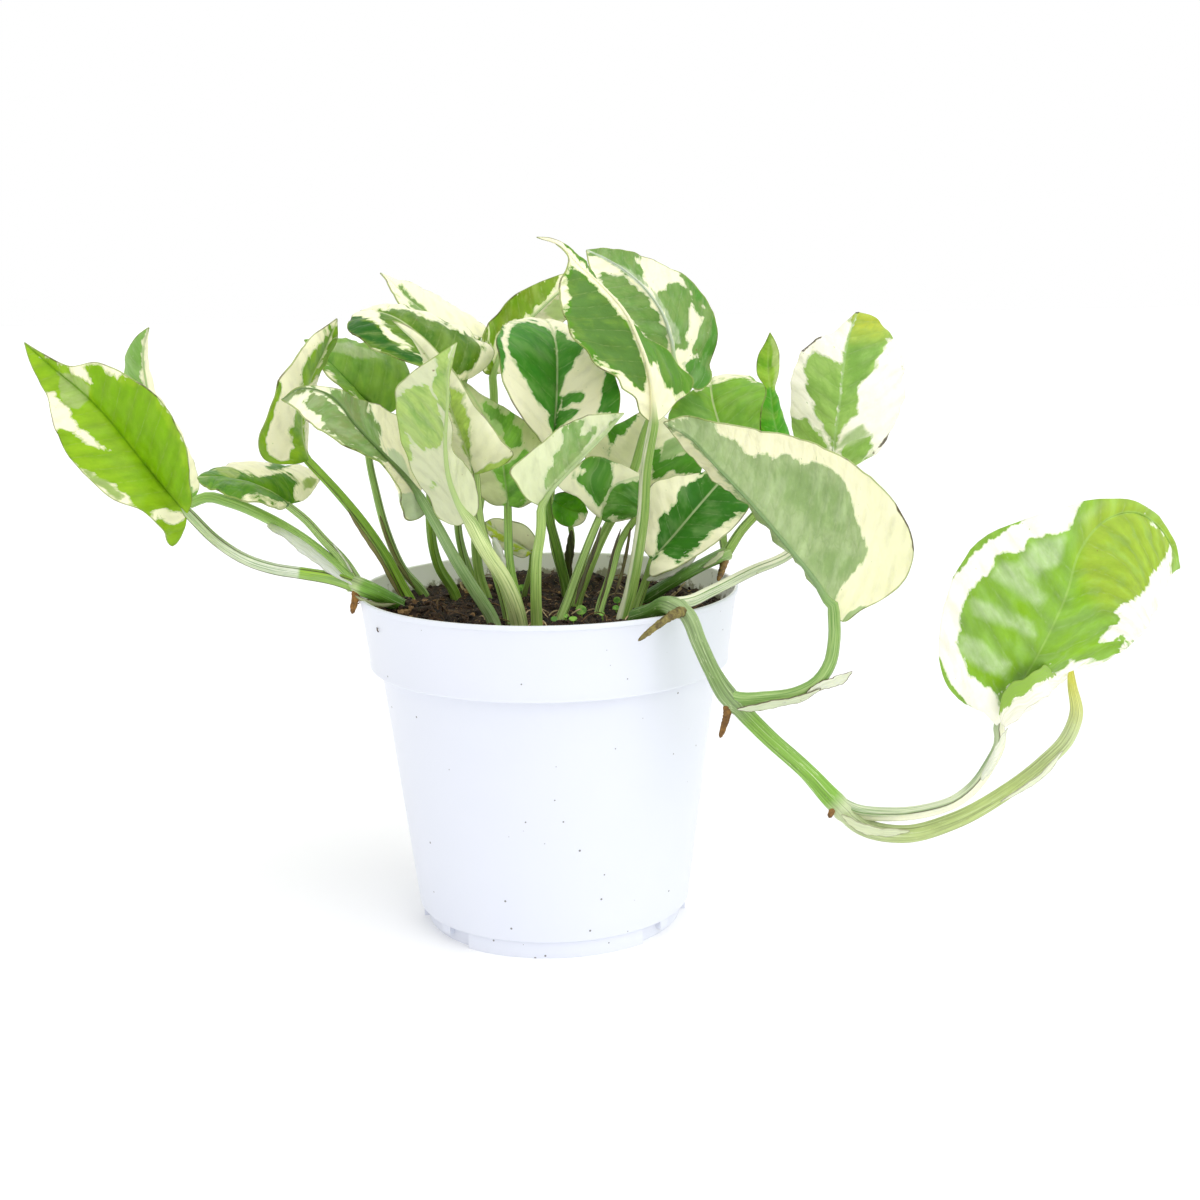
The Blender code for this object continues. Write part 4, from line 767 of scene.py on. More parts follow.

# How each blade and its stalk are finished. Its colours are green, deep, pale, gold and brown for the
# markings, cream, rib, and stalk or, along the stalk, tones. Shares say how far rib_share, net, blotch,
# outline and the stalk's edge show, and where round the stalk a cream streak runs; two more, swell and the
# one for the folds, say how strongly the painted light and shade over the swollen flesh and its folds show.
# In mm are vein_gap, quilt and crinkle (how high the flesh stands) and soft (how far deep and pale fade out).
DARK = dict(green="#4A8A30", deep="#357325", pale="#9CBB78")
BRIGHT = dict(green="#8AAC24", deep="#6A9F0C", pale="#A0BD58")
SAGE = dict(green="#93B066", deep="#6A9A48", pale="#B4C896")
OLIVE = dict(green="#6A9A2C", deep="#4A8220", pale="#9DB768")
LOOKS = {
    "far_left": dict(BRIGHT, rib="#6A9A10", net=0.16, stalk="#C9D8AE", green="#8CB41A", deep="#76A606",
        pale="#84A63A", tones=((0.0, "#8FB82C"), (0.36, "#9CC636"), (0.38, "#EAF0DC"), (0.8, "#DFE8C8"),
        (1.0, "#C6D6A2")), fold_shade=1.5),
    "left_edge_on": dict(SAGE, green="#84B450", stalk="#A6CC6A", deep="#6A9A34"),
    "left_low": dict(DARK, green="#5A8E0C", stalk="#B0CC7C", deep="#2C6A14", pale="#86A42C", blotch=0.35,
        net=0.3, fold_shade=1.5),
    "crescent": dict(OLIVE, green="#8AB222", stalk="#98C43E", edge=1.0),
    "left_arching": dict(SAGE, green="#7E8F55", pale="#BACEA6", rib="#5F7D3E", net=0.3, stalk="#9AB678",
        fold_shade=1.3),
    "left_behind": dict(OLIVE, green="#7AA336", pale="#80A055", rib="#4F8A22", stalk="#94B45A", edge=1.0),
    "upper_left_broad": dict(OLIVE, green="#5E8214", deep="#215E04", stalk="#8CB240"),
    "upper_left_cream": dict(DARK, green="#7E9E54", deep="#6A8E44", stalk="#94B45A"),
    "front_left": dict(SAGE, green="#AAC46C", cream="#CCD3B0", rib="#A9C27A", net=0.2, stalk="#CEDC96",
        brown="#6A4418", fold_shade=1.3),
    "front_cream": dict(OLIVE, green="#BEDA68", stalk="#B6D07C", cream="#F4F4D2"),
    "middle_left": dict(DARK, green="#86C048", pale="#A8D07E", stalk="#A0C85E", cream="#C9D49E"),
    "upper_middle": dict(BRIGHT, green="#809C25", pale="#BEDA84", fold_shade=1.3),
    "middle_heart": dict(DARK, green="#4D912C", stalk="#84AE4A", deep="#2F7A1E"),
    "top_folded": dict(OLIVE, green="#4E880C", deep="#567F34", pale="#8CAA44", rib="#F3F0C8", net=0.15,
        stalk="#94B456", streak=0.62, fold_shade=1.1),
    "top_right": dict(DARK, green="#78984E", deep="#508A2C", pale="#93AC80", rib="#C3D1BA", net=0.3),
    "right_behind": dict(OLIVE, green="#78A82E", deep="#6A9C3C", fold_shade=1.5),
    "right_slim": dict(BRIGHT, green="#96BE3C", deep="#449404", rib_share=0.12, fold_shade=1.6),
    "right_dark": dict(DARK, green="#347514"),
    "behind_stalks": dict(DARK, green="#539226", pale="#7CA557", cream="#EDEDCC"),
    "front_folded": dict(SAGE, green="#8CA563", rib="#A9BE86", net=0.3, stalk="#AAC66C", cream="#CFD8B0",
        fold_shade=1.4),
    "small_dark": dict(DARK, green="#528A28", stalk="#A8C86C", cream="#E6E8C4"),
    "small_round": dict(DARK, green="#5CA704", rib="#6BA826"),
    "small_cream": dict(SAGE, green="#C4DC40", cream="#E4E8C0"),
    "rear_middle": DARK,
    "rear_left": OLIVE,
    "rear_right": DARK,
    "trailing_hanging": dict(SAGE, green="#A4B784", quilt=0.42, cream="#FAF7D2", rib="#7C9A62", net=0.42,
        blotch=0.6, stalk="#9CBC6C", deep="#8AA468", crinkle=0.8, brown="#4A3C1C", soft=2.5, fold_shade=1.3),
    # Its cream is lighter than the others', painted light that lifts the shade on its left part.
    "trailing_behind": dict(DARK, green="#9CC062", pale="#94B06C", cream="#FFFDEC", stalk="#D6DFBE",
        streak=0.3, brown="#3A2A14", soft=1.4, gold="#A9B63A", rib_share=0.5, fold_shade=1.2, rib="#A6C684",
        outline=0.2, net=0.25, deep="#76A042"),
    # The far right leaf's deep and pale are also the colours of its painted shade and painted highlights, and
    # its shares for the swell and the folds are high, for stronger painted light and shade.
    "far_right": dict(BRIGHT, green="#80AA40", deep="#80AE1E", gold="#96B236", pale="#95B96A", quilt=0.75,
        cream="#FFFDF0", rib="#9CC060", stalk="#D0DAB4", streak=0.55, soft=2.5, crinkle=1.1, net=0.1,
        rib_share=0.6, fold_shade=1.5, vein_gap=8.5, swell=0.13, outline=0.12, blotch=0.35),
}

# What lies and grows on the soil: the dark and light tones of its fibres; seedlings, each with where it
# shows, its width in mm and its tilt; and heaps, each with where it shows and its height in mm
FIBRE_TONES = (("#2E1D10", "#5E4326"), ("#4E3820", "#8A6A44"), ("#8A744E", "#CDB890"))
SEEDLINGS = ((581,610,3.5,75), (573,619,2.6,30), (554,619,2.0,60), (617,600,2.4,80), (616,608,2.2,40),
    (522,588,2.8,70), (566,616,1.5,50), (602,614,1.7,50))
HEAPS = [((404,608,-1), 4.0), ((380,604,-8), 2.6), ((432,612,-8), 2.2), ((460,606,0), 1.6),
    ((640,612,-26), 2.6), ((700,600,0), 1.5), ((470,586,30), 2.5), ((500,582,36), 3.6), ((530,580,39), 4.0),
    ((560,580,40), 4.0), ((590,582,37), 3.2)]


class View:
    """The camera's pinhole, about the pot's axis and in mm."""

    def __init__(self):
        level_share = math.cos(VIEW_PITCH)
        forward = Vector((
            math.sin(VIEW_YAW) * level_share, math.cos(VIEW_YAW) * level_share, -math.sin(VIEW_PITCH)
        ))
        level = forward.cross(Vector((0, 0, 1))).normalized()
        upright = level.cross(forward)
        self.forward = forward
        self.right = level * math.cos(VIEW_ROLL) + upright * math.sin(VIEW_ROLL)
        self.up = upright * math.cos(VIEW_ROLL) - level * math.sin(VIEW_ROLL)
        self.eye = Vector((0, -VIEW_DISTANCE, VIEW_HEIGHT))

    def spot(self, across, down, behind):
        """The point that shows at (across, down) and lies behind the pot's axis."""
        ray = self.forward
        ray = ray + self.right * ((across - VIEW_MIDDLE) / VIEW_FOCUS)
        ray = ray + self.up * ((VIEW_MIDDLE - down) / VIEW_FOCUS)
        return np.array(self.eye + ray * ((behind - self.eye.y) / ray.y))

    def at_height(self, across, down, height):
        """The point of a given height that shows at (across, down)."""
        near, far = self.spot(across, down, -100.0), self.spot(across, down, 100.0)
        return near + (far - near) * ((height - near[2]) / (far[2] - near[2]))

    def shown(self, points):
        """Where points show, in pixels across and down."""
        away = points - np.array(self.eye)
        depth = away @ np.array(self.forward)
        across = VIEW_MIDDLE + VIEW_FOCUS * (away @ np.array(self.right)) / depth
        down = VIEW_MIDDLE - VIEW_FOCUS * (away @ np.array(self.up)) / depth
        return np.stack([across, down], axis=1)


VIEW = View()


# Lines and grids of points, in mm about the pot's axis

def unit(rows):
    return rows / np.maximum(np.linalg.norm(rows, axis=-1, keepdims=True), 1e-9)


def placed(spots):
    return np.array([VIEW.spot(*spot) for spot in spots])


def lengths(points):
    """How far along the line each of its points is."""
    steps = np.linalg.norm(np.diff(points, axis=0), axis=1)
    return np.concatenate([[0], np.cumsum(steps)])


def between(at, known, points):
    """The points at some places along a line, where it is known at others."""
    return np.stack([np.interp(at, known, points[:, k]) for k in range(3)], axis=1)


def smooth_line(points, shares):
    """Points at the given shares of the length of a smooth line through the points."""
    points = np.asarray(points, float)
    at = lengths(points)
    slopes = np.gradient(points, at, axis=0)
    t = np.linspace(0, 1, LINE_STEPS)[:, None]
    fine = []
    for i, step in enumerate(np.diff(at)):
        fine.append(
            points[i] * (2 * t**3 - 3 * t**2 + 1)
            + slopes[i] * step * (t**3 - 2 * t**2 + t)
            + points[i + 1] * (3 * t**2 - 2 * t**3)
            + slopes[i + 1] * step * (t**3 - t**2)
        )
    fine = np.concatenate(fine)
    run = lengths(fine)
    return between(shares, run / run[-1], fine)


def sampled(line, step):
    """The line at even places about a step apart."""
    count = max(4, int(lengths(line)[-1] / step) + 2)
    return smooth_line(line, np.linspace(0, 1, count))


def rooted(line):
    """A line out of the soil, carried down to where it is rooted."""
    heading = unit(line[0] - line[1])
    drop = np.array((heading[0] * ROOT_SLANT, heading[1] * ROOT_SLANT, -1.0))
    depth = line[0][2] - (SOIL_TOP - ROOT_DEPTH)
    return np.concatenate([(line[0] + drop * depth)[None], line])


def ring_frames(line, upper):
    """The heading at each point of a line, the side that starts as upper at its end, and the third side."""
    heading = unit(np.gradient(line, axis=0))
    up = np.zeros(line.shape)
    up[-1] = upper
    for i in range(len(line) - 1, -1, -1):
        kept = up[min(i + 1, len(line) - 1)]
        up[i] = unit(kept - heading[i] * (kept @ heading[i]))
    return heading, up, np.cross(heading, up)


def rings_round(line, upper, radii, section):
    """Rings of points round a line. The section gives each turn's share of the radius, from its underside."""
    heading, up, other = ring_frames(line, upper)
    turns = np.linspace(0, 2 * math.pi, section.shape[-1], endpoint=False) + math.pi
    wide = radii[:, None] * section
    return (
        line[:, None]
        + up[:, None] * (wide * np.cos(turns))[..., None]
        + other[:, None] * (wide * np.sin(turns))[..., None]
    )


# Pieces made from primitives

def deselect():
    bpy.ops.object.select_all(action="DESELECT")


def edit_all():
    """Goes into edit mode with the whole mesh selected."""
    bpy.ops.object.mode_set(mode="EDIT")
    bpy.ops.mesh.select_all(action="SELECT")


def end_edit():
    """Turns every face outwards and leaves edit mode."""
    bpy.ops.mesh.select_all(action="SELECT")
    bpy.ops.mesh.normals_make_consistent(inside=False)
    bpy.ops.object.mode_set(mode="OBJECT")


def named(piece, name):
    piece.name = piece.data.name = name
    return piece


def smooth(piece, angle):
    deselect()
    piece.select_set(True)
    bpy.context.view_layer.objects.active = piece
    bpy.ops.object.shade_smooth_by_angle(angle=math.radians(angle))


def joined(pieces):
    deselect()
    for piece in pieces:
        piece.select_set(True)
    bpy.context.view_layer.objects.active = pieces[0]
    bpy.ops.object.join()
    return pieces[0]


def copied(source, placing):
    """A copy of a piece with its own mesh, put where the matrix says."""
    copy = source.copy()
    copy.data = source.data.copy()
    copy.data.transform(placing)
    bpy.context.scene.collection.objects.link(copy)
    return copy


def set_uv(piece, across, along):
    """Sets the UV map from how far across and along each point is, in mm."""
    places = np.stack([across, along], axis=2).reshape(-1, 2) / UV_LENGTH
    corners = np.zeros(len(piece.data.loops), np.int32)
    piece.data.loops.foreach_get("vertex_index", corners)
    piece.data.uv_layers["UVMap"].data.foreach_set("uv", places[corners].astype(np.float32).ravel())


def set_attribute(piece, name, values):
    kept = piece.data.attributes.new(name, "FLOAT", "POINT")
    kept.data.foreach_set("value", np.asarray(values, np.float32).ravel())


def sheet(name, grid):
    """A grid primitive moved to the places of a grid of points, whose faces look up from it."""
    rows, columns = grid.shape[:2]
    deselect()
    bpy.ops.mesh.primitive_grid_add(x_subdivisions=columns - 1, y_subdivisions=rows - 1, size=0.1)
    piece = named(bpy.context.object, name)
    places = (grid.reshape(-1, 3) + SHIFT) * MM
    piece.data.vertices.foreach_set("co", places.astype(np.float32).ravel())
    piece.data.update()
    return piece


def thickened(piece, thick, materials):
    """Gives a sheet its thickness: the upper side, the under side and the rim have a material each."""
    for material in materials:
        piece.data.materials.append(material)
    modifier = piece.modifiers.new("thickness", "SOLIDIFY")
    modifier.thickness = thick * MM
    modifier.offset = 0
    modifier.material_offset = 1
    modifier.material_offset_rim = 2
    bpy.context.view_layer.objects.active = piece
    bpy.ops.object.modifier_apply(modifier=modifier.name)
    smooth(piece, SHEET_SMOOTH)


def rolled(name, rings, material, share=None):
    """A grid primitive rolled into a stem through rings of points, closed at both ends."""
    rows, sides = rings.shape[:2]
    piece = sheet(name, np.concatenate([rings, rings[:, :1]], axis=1))
    run = np.repeat(lengths(rings.mean(axis=1))[:, None], sides + 1, axis=1)
    turn = np.repeat(np.linspace(0, UV_LENGTH, sides + 1)[None], rows, axis=0)
    set_uv(piece, turn, run)
    if share is not None:
        set_attribute(piece, "on_blade", np.repeat(share, sides + 1, axis=1))
    edit_all()
    bpy.ops.mesh.remove_doubles(threshold=SEAM_GAP)
    bpy.ops.mesh.fill_holes(sides=0)
    end_edit()
    piece.data.materials.append(material)
    smooth(piece, STEM_SMOOTH)
    return piece


def lathe(name, profile, sides):
    """A circle primitive, drawn out ring by ring along a profile of (radius, height) and closed."""
    deselect()
    radius, height = profile[0]
    centre = np.array((POT_X, POT_Y, height)) * MM
    bpy.ops.mesh.primitive_circle_add(vertices=sides, radius=radius * MM, fill_type="NGON", location=centre)
    piece = named(bpy.context.object, name)
    edit_all()
    bpy.ops.mesh.flip_normals()
    bpy.ops.mesh.select_mode(type="EDGE")
    bpy.ops.mesh.select_all(action="SELECT")
    for after, up in profile[1:]:
        bpy.ops.mesh.extrude_edges_move()
        share = after / radius
        centre = np.array((POT_X, POT_Y, height)) * MM
        bpy.ops.transform.resize(value=(share, share, 1), center_override=tuple(centre))
        bpy.ops.transform.translate(value=(0, 0, (up - height) * MM))
        radius, height = after, up
    bpy.ops.mesh.edge_face_add()
    end_edit()
    bpy.ops.object.transform_apply(location=True, rotation=True, scale=True)
    return piece


def shown_piece(piece, slot, *nodes):
    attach(piece, "root")
    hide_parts(*nodes)


# Finishes

def linear(colour):
    """A #RRGGBB colour as the linear numbers that a shader takes. Any other value stays as it is."""
    if not isinstance(colour, str):
        return colour
    shares = [int(colour[k : k + 2], 16) / 255 for k in (1, 3, 5)]
    return tuple(s / 12.92 if s <= 0.04045 else ((s + 0.055) / 1.055) ** 2.4 for s in shares) + (1.0,)


def blended(one, other, share):
    return tuple(a + (b - a) * share for a, b in zip(linear(one), linear(other)))


class Finish:
    """A material, the nodes that make it, and the tone that they have laid so far."""

    def __init__(self, name):
        self.material = bpy.data.materials.new(name)
        self.material.use_nodes = True
        self.tree = self.material.node_tree
        self.shader = self.tree.nodes["Principled BSDF"]
        self.tone = None

    def feed(self, socket, value):
        if isinstance(value, bpy.types.NodeSocket):
            self.tree.links.new(value, socket)
        else:
            socket.default_value = linear(value)

    def set(self, name, value):
        self.feed(self.shader.inputs[name], value)

    def node(self, kind, inputs, **settings):
        made = self.tree.nodes.new("ShaderNode" + kind)
        for name, value in settings.items():
            setattr(made, name, value)
        for key, value in inputs.items():
            self.feed(made.inputs[key], value)
        return made

    # Where a point is on its piece

    def attribute(self, name):
        return self.node("Attribute", {}, attribute_name=name).outputs["Fac"]

    def uv(self):
        return self.node("UVMap", {}, uv_map="UVMap").outputs[0]

    def place(self):
        return self.node("TexCoord", {}).outputs["Object"]

    def parts(self, place):
        return self.node("SeparateXYZ", {0: place}).outputs[:]

    def mapped(self, place, scale, shift=(0, 0, 0)):
        return self.node("Mapping", {"Vector": place, "Scale": scale, "Location": shift}).outputs[0]

    # Sums

    def sum(self, operation, one, other=0.0):
        return self.node("Math", {0: one, 1: other}, operation=operation).outputs[0]

    def add(self, first, *others):
        for other in others:
            first = self.sum("ADD", first, other)
        return first

    def times(self, one, other):
        return self.sum("MULTIPLY", one, other)

    def scaled(self, value, times, plus=0.0):
        return self.node("Math", {0: value, 1: times, 2: plus}, operation="MULTIPLY_ADD").outputs[0]

    def step(self, value, low, high, least=0.0, most=1.0):
        """A soft step from least to most as the value goes from low to high."""
        inputs = {"Value": value, "From Min": low, "From Max": high, "To Min": least, "To Max": most}
        return self.node("MapRange", inputs, interpolation_type="SMOOTHSTEP").outputs[0]

    # Patterns

    def noise(self, place, scale, detail=3.0, rough=0.5, shift=(0, 0, 0)):
        """A noise with so many lumps to a unit; three scales stretch it."""
        if isinstance(scale, tuple):
            place, scale = self.mapped(place, scale, shift), 1.0
        inputs = {"Vector": place, "Scale": scale, "Detail": detail, "Roughness": rough}
        return self.node("TexNoise", inputs).outputs[0]

    def cells(self, place, kind="F1", **inputs):
        return self.node("TexVoronoi", {"Vector": place, "Scale": 1.0, **inputs}, feature=kind).outputs

    def specks(self, place, size, share):
        """Round spots, whose radius is up to size cells, in all but the given share of the cells."""
        spots = self.cells(place)
        parts = self.node("SeparateColor", {0: spots["Color"]}).outputs
        reach = self.scaled(parts[1], 0.8 * size, 0.4 * size)
        spot = self.step(self.sum("SUBTRACT", spots["Distance"], reach), -0.3 * size, 0.0, 0.8, 0.0)
        return self.times(spot, self.sum("GREATER_THAN", parts[0], share))

    # Colours

    def mix(self, share, one, other):
        return self.node("Mix", {0: share, 6: one, 7: other}, data_type="RGBA").outputs[2]

    def lay(self, share, tone):
        """Lays a tone over the tone so far, by a share."""
        self.tone = self.mix(share, self.tone, tone)

    def ramp(self, value, tones):
        """A colour along the value, from (place, colour) pairs in order."""
        made = self.node("ValToRGB", {0: value})
        stops = made.color_ramp.elements
        while len(stops) < len(tones):
            stops.new(1.0)
        for stop, (at, tone) in zip(stops, tones):
            stop.position = at
            stop.color = linear(tone)
        return made.outputs[0]

    def bright(self, colour, value):
        return self.node("HueSaturation", {"Color": colour, "Value": value}).outputs[0]

    # The shader

    def glows(self, weight, radius=GREEN_GLOW):
        """Lets light in under the surface, as a leaf or thin plastic does."""
        for part, value in (("Weight", weight), ("Radius", radius), ("Scale", GLOW_DEPTH)):
            self.set("Subsurface " + part, value)

    def made(self, rough, height, strength=1.0):
        """The material, in the tone laid, with its roughness and a bump of a height in mm."""
        bump = self.node("Bump", {"Strength": strength, "Distance": MM, "Height": height})
        self.set("Base Color", self.tone)
        self.set("Roughness", rough)
        self.set("Normal", bump.outputs[0])
        return self.material


# Leaves

def blade_lines(leaf):
    """The rib and the left and right margins of a leaf as seen on its upper face, with its tip up."""
    rib = placed(leaf["rib"])
    left = np.concatenate([rib[:1], placed(leaf["one"]), rib[-1:]])
    right = np.concatenate([rib[:1], placed(leaf["other"]), rib[-1:]])
    before, middle, after = smooth_line(rib, [0.4, 0.5, 0.6])
    span = smooth_line(right, [0.5])[0] - smooth_line(left, [0.5])[0]
    upper = np.cross(span, after - before)
    upper_is_seen = upper @ (np.array(VIEW.eye) - middle) > 0
    if upper_is_seen != (leaf["seen"] == "upper"):
        left, right = right, left
    return rib, left, right


def grid_normals(grid):
    toward_tip = np.gradient(grid, axis=0)
    toward_right = np.gradient(grid, axis=1)
    return unit(np.cross(toward_right, toward_tip))


def vein_place(across, along):
    """The place along the rib, in mm, where the side vein through a point leaves it."""
    wide = np.abs(across)
    return along - VEIN_SLANT * wide - VEIN_BEND * wide**2


def blade_grid(leaf, look, seed):
    """The blade's middle layer, with each point's place on it: mm across, mm along and mm to the margin."""
    rib, left, right = blade_lines(leaf)
    even = np.linspace(0, 1, BLADE_ROWS)
    share = even - ROW_CROWDING * np.sin(2 * math.pi * even)
    share = FIRST_ROW + (LAST_ROW - FIRST_ROW) * share
    along = share**RIB_LAG
    middle = smooth_line(rib, along)
    ahead = unit(smooth_line(rib, along + HEADING_REACH) - smooth_line(rib, along - HEADING_REACH))
    grid = np.zeros((BLADE_ROWS, 2 * BLADE_COLUMNS + 1, 3))
    to_margin = np.zeros(grid.shape[:2])
    grid[:, BLADE_COLUMNS] = middle
    for side, margin in ((-1, left), (1, right)):
        reach = smooth_line(margin, share) - middle
        bulge = side * np.cross(reach, ahead) * CAMBER
        wide = np.linalg.norm(reach, axis=1)
        to_margin[:, BLADE_COLUMNS] = wide
        for column in range(1, BLADE_COLUMNS + 1):
            out = (column / BLADE_COLUMNS) ** COLUMN_CROWDING
            grid[:, BLADE_COLUMNS + side * column] = middle + reach * out + bulge * (out * (1 - out))
            to_margin[:, BLADE_COLUMNS + side * column] = wide * (1 - out)
    from_rib = grid - middle[:, None]
    forward = np.einsum("ijk,ik->ij", from_rib, ahead)
    across = np.linalg.norm(from_rib - forward[..., None] * ahead[:, None], axis=2)
    across[:, :BLADE_COLUMNS] *= -1
    along = lengths(middle)[:, None] + forward
    return shaped_grid(grid, across, along, to_margin, look, seed), across, along, to_margin


def shaped_grid(grid, across, along, to_margin, look, seed):
    """The middle layer with its rib sunk, its flesh raised between the veins and its margins wavy."""
    scatter = np.random.default_rng(seed)
    normals = grid_normals(grid)
    half = to_margin + np.abs(across)
    out = np.abs(across) / np.maximum(half, 0.5)
    reach = np.clip(half / FULL_RELIEF_HALF, 0, 1)
    waves = np.zeros(out.shape)
    for wave in WAVES:
        turns = scatter.uniform(1.6, 2.6) / (wave * WAVE_LENGTH)
        start = scatter.uniform(0, 2 * math.pi, 2)
        phase = np.where(across < 0, start[0], start[1])
        waves += wave * np.sin(2 * math.pi * turns * along + phase)
    start = scatter.uniform(0, 2 * math.pi, 2)
    vein = vein_place(across, along)
    wander = 0.9 * np.sin(across / 4.3 + start[0]) + 0.6 * np.sin(along / 6.1 + start[1])
    swell = np.abs(np.sin(math.pi * (vein + wander) / look.get("vein_gap", VEIN_GAP))) ** 0.7
    swell = swell * (0.75 + 0.35 * np.sin(along / 7.7 + across / 5.3 + start[0]))
    lift = WAVE * waves * out**2.5 * reach
    lift += look.get("quilt", QUILT) * swell * np.sin(math.pi * np.clip(out, 0, 1)) * reach
    lift -= RIB_GROOVE * np.exp(-((across / 0.9) ** 2)) * reach
    crinkle = [noise.fractal(Vector((a / 8.5, b / 6.5, seed)), 0.7, 2.0, 3)
               for a, b in zip(across.ravel(), vein.ravel())]
    lift += look.get("crinkle", CRINKLE) * np.reshape(crinkle, out.shape) * reach * np.clip(out * 5, 0, 1)
    return grid + normals * lift[..., None]


def outline_distance(places, outline):
    """How far each place is inside an outline, or outside it where less than 0."""
    outline = np.asarray(outline, float)
    after = np.roll(outline, -1, axis=0)
    side = after - outline
    rel = places[:, None] - outline[None]
    share = np.clip((rel * side).sum(2) / np.maximum((side**2).sum(1), 1e-9), 0, 1)
    away = np.linalg.norm(rel - share[..., None] * side, axis=2).min(axis=1)
    high = (outline[None, :, 1] > places[:, None, 1]) != (after[None, :, 1] > places[:, None, 1])
    rise = np.where(np.abs(side[:, 1]) < 1e-9, 1e-9, side[:, 1])
    cross = outline[:, 0] + (places[:, None, 1] - outline[:, 1]) * side[:, 0] / rise
    inside = (high & (places[:, None, 0] < cross)).sum(axis=1) % 2 == 1
    return np.where(inside, away, -away)


def marking(name, kind, grid, across, along):
    """How far inside the outlines of one kind of marking each point of a blade is, in mm."""
    marks = MARKINGS[name]
    if kind not in marks:
        return np.full(across.size, -FAR_OUTSIDE)
    if "shares" in marks:
        wide = np.max(np.abs(across))
        long = np.max(along)
        places = np.stack([across / wide, along / long], axis=2).reshape(-1, 2)
        size = (wide + long) / 2
    else:
        places = VIEW.shown(grid.reshape(-1, 3))
        size = PIXEL
    return size * np.max([outline_distance(places, outline) for outline in marks[kind]], axis=0)


def stalk_section(count):
    """A leaf stalk's section: round below, grooved above, with a low edge on each side of the groove."""
    turns = np.linspace(0, 2 * math.pi, STALK_SIDES, endpoint=False) + math.pi
    from_top = np.abs((turns + math.pi) % (2 * math.pi) - math.pi)
    section = 1 - 0.34 * np.exp(-((from_top / 0.5) ** 2))
    section += 0.12 * np.exp(-(((from_top - 0.85) / 0.22) ** 2))
    section += 0.02 * np.cos(9 * turns)
    return np.repeat(section[None], count, axis=0)


def stalk_rings(leaf, grid, foot):
    """The stalk's rings, up from its foot and on along the underside of the rib to near its tip."""
    middle = grid[:, BLADE_COLUMNS]
    run = lengths(middle)
    on_rib = np.arange(0, run[-1] * STALK_ON_RIB, RIB_STEP)
    share = on_rib / run[-1]
    rib = between(on_rib, run, middle)
    normal = unit(between(on_rib, run, grid_normals(grid)[:, BLADE_COLUMNS]))
    top = leaf["thick"][1] / 2
    thin = top * (0.5 * np.exp(-share / 0.06) + 0.42 * (1 - share)) + 0.1
    sunk = thin * (1.12 - 0.66 * np.exp(-on_rib / 4.0))
    below = sampled(np.concatenate([foot, rib[:1] - normal[:1] * sunk[0]]), STALK_STEP)
    line = np.concatenate([below[:-1], rib - normal * sunk[:, None]])
    radii = np.concatenate([np.linspace(leaf["thick"][0] / 2, top, len(below))[:-1], thin])
    at = lengths(line)
    radii = radii * (1 + STALK_FLARE * np.exp(-at / FLARE_LENGTH))
    even = np.linspace(0, at[-1], int(at[-1] / STALK_STEP) + 2)
    line = smooth_line(line, even / at[-1])
    section = stalk_section(len(line))
    on_blade = np.clip((even - lengths(below)[-1]) / 8.0, 0, 1)[:, None]
    section = section * (1 - on_blade) + on_blade
    return rings_round(line, normal[-1], np.interp(even, at, radii), section), on_blade


def sheath(one, other, tone, torn=0.3, bulge=0.6, ends=(0.25, 0.25), second=None):
    """A thin sheath between two lines of places, bulging towards the camera and tapered at both ends."""
    across = np.linspace(0, 1, SHEATH_COLUMNS + 1)[None, :, None]
    one, other = placed(one), placed(other)
    rows = max(12, int(max(lengths(one)[-1], lengths(other)[-1]) / SHEATH_STEP))
    share = np.linspace(0, 1, rows)
    one, other = smooth_line(one, share), smooth_line(other, share)
    narrow = np.sqrt(np.clip(share / ends[0], 0.004, 1) * np.clip((1 - share) / ends[1], 0.004, 1))
    narrow = narrow * (1 + 0.1 * np.sin(share * 19) + 0.06 * np.sin(share * 47 + 1))
    middle, half = (one + other) / 2, (other - one) / 2 * narrow[:, None]
    grid = (middle - half)[:, None] * (1 - across) + (middle + half)[:, None] * across
    toward = unit(np.array(VIEW.eye) - middle[rows // 2])
    grid = grid + toward * bulge * np.sin(math.pi * across) * narrow[:, None, None]
    if grid_normals(grid)[rows // 2, SHEATH_COLUMNS // 2] @ toward < 0:
        grid = grid[:, ::-1]
    piece = sheet("sheath", grid)
    wide = 2 * np.linalg.norm(half, axis=1)[:, None]
    across = across[..., 0]
    set_uv(piece, wide * across, lengths(middle)[:, None] + 0 * across)
    set_attribute(piece, "to_margin", wide * np.minimum(across, 1 - across))
    set_attribute(piece, "share_across", 0 * wide + across)
    thickened(piece, SHEATH_THICK, [sheath_finish("sheath", tone, torn, second or tone)] * 3)
    return piece


def leaf_piece(name, in_soil, node):
    """One leaf: its blade, variegated on both sides, and its stalk with the rib that carries on from it."""
    leaf, look = LEAVES[name], LOOKS[name]
    seed = sorted(LEAVES).index(name) + 1
    grid, across, along, to_margin = blade_grid(leaf, look, seed)
    piece = sheet(name, grid)
    for kind in ("green", "deep", "pale", "brown", "gold"):
        set_attribute(piece, kind, marking(name, kind, grid, across, along))
    set_attribute(piece, "to_margin", to_margin)
    set_uv(piece, across, vein_place(across, along))
    upper_pallor, under_pallor = (0.0, 0.3) if leaf["seen"] == "upper" else (-0.35, 0.0)
    upper = blade_finish(name + "_upper", look, seed, upper_pallor)
    under = blade_finish(name + "_under", look, seed, under_pallor)
    thickened(piece, BLADE_THICK, [upper, under, upper])
    foot = placed(leaf["stalk"])[::-1]
    rings, on_blade = stalk_rings(leaf, grid, rooted(foot) if in_soil else foot)
    stalk = rolled(name + "_stalk", rings, stalk_finish(name + "_stalk", look, seed), on_blade)
    piece = joined([piece, stalk] + [sheath(*given) for given in SHEATHS.get(name, ())])
    shown_piece(piece, "leaf", node)


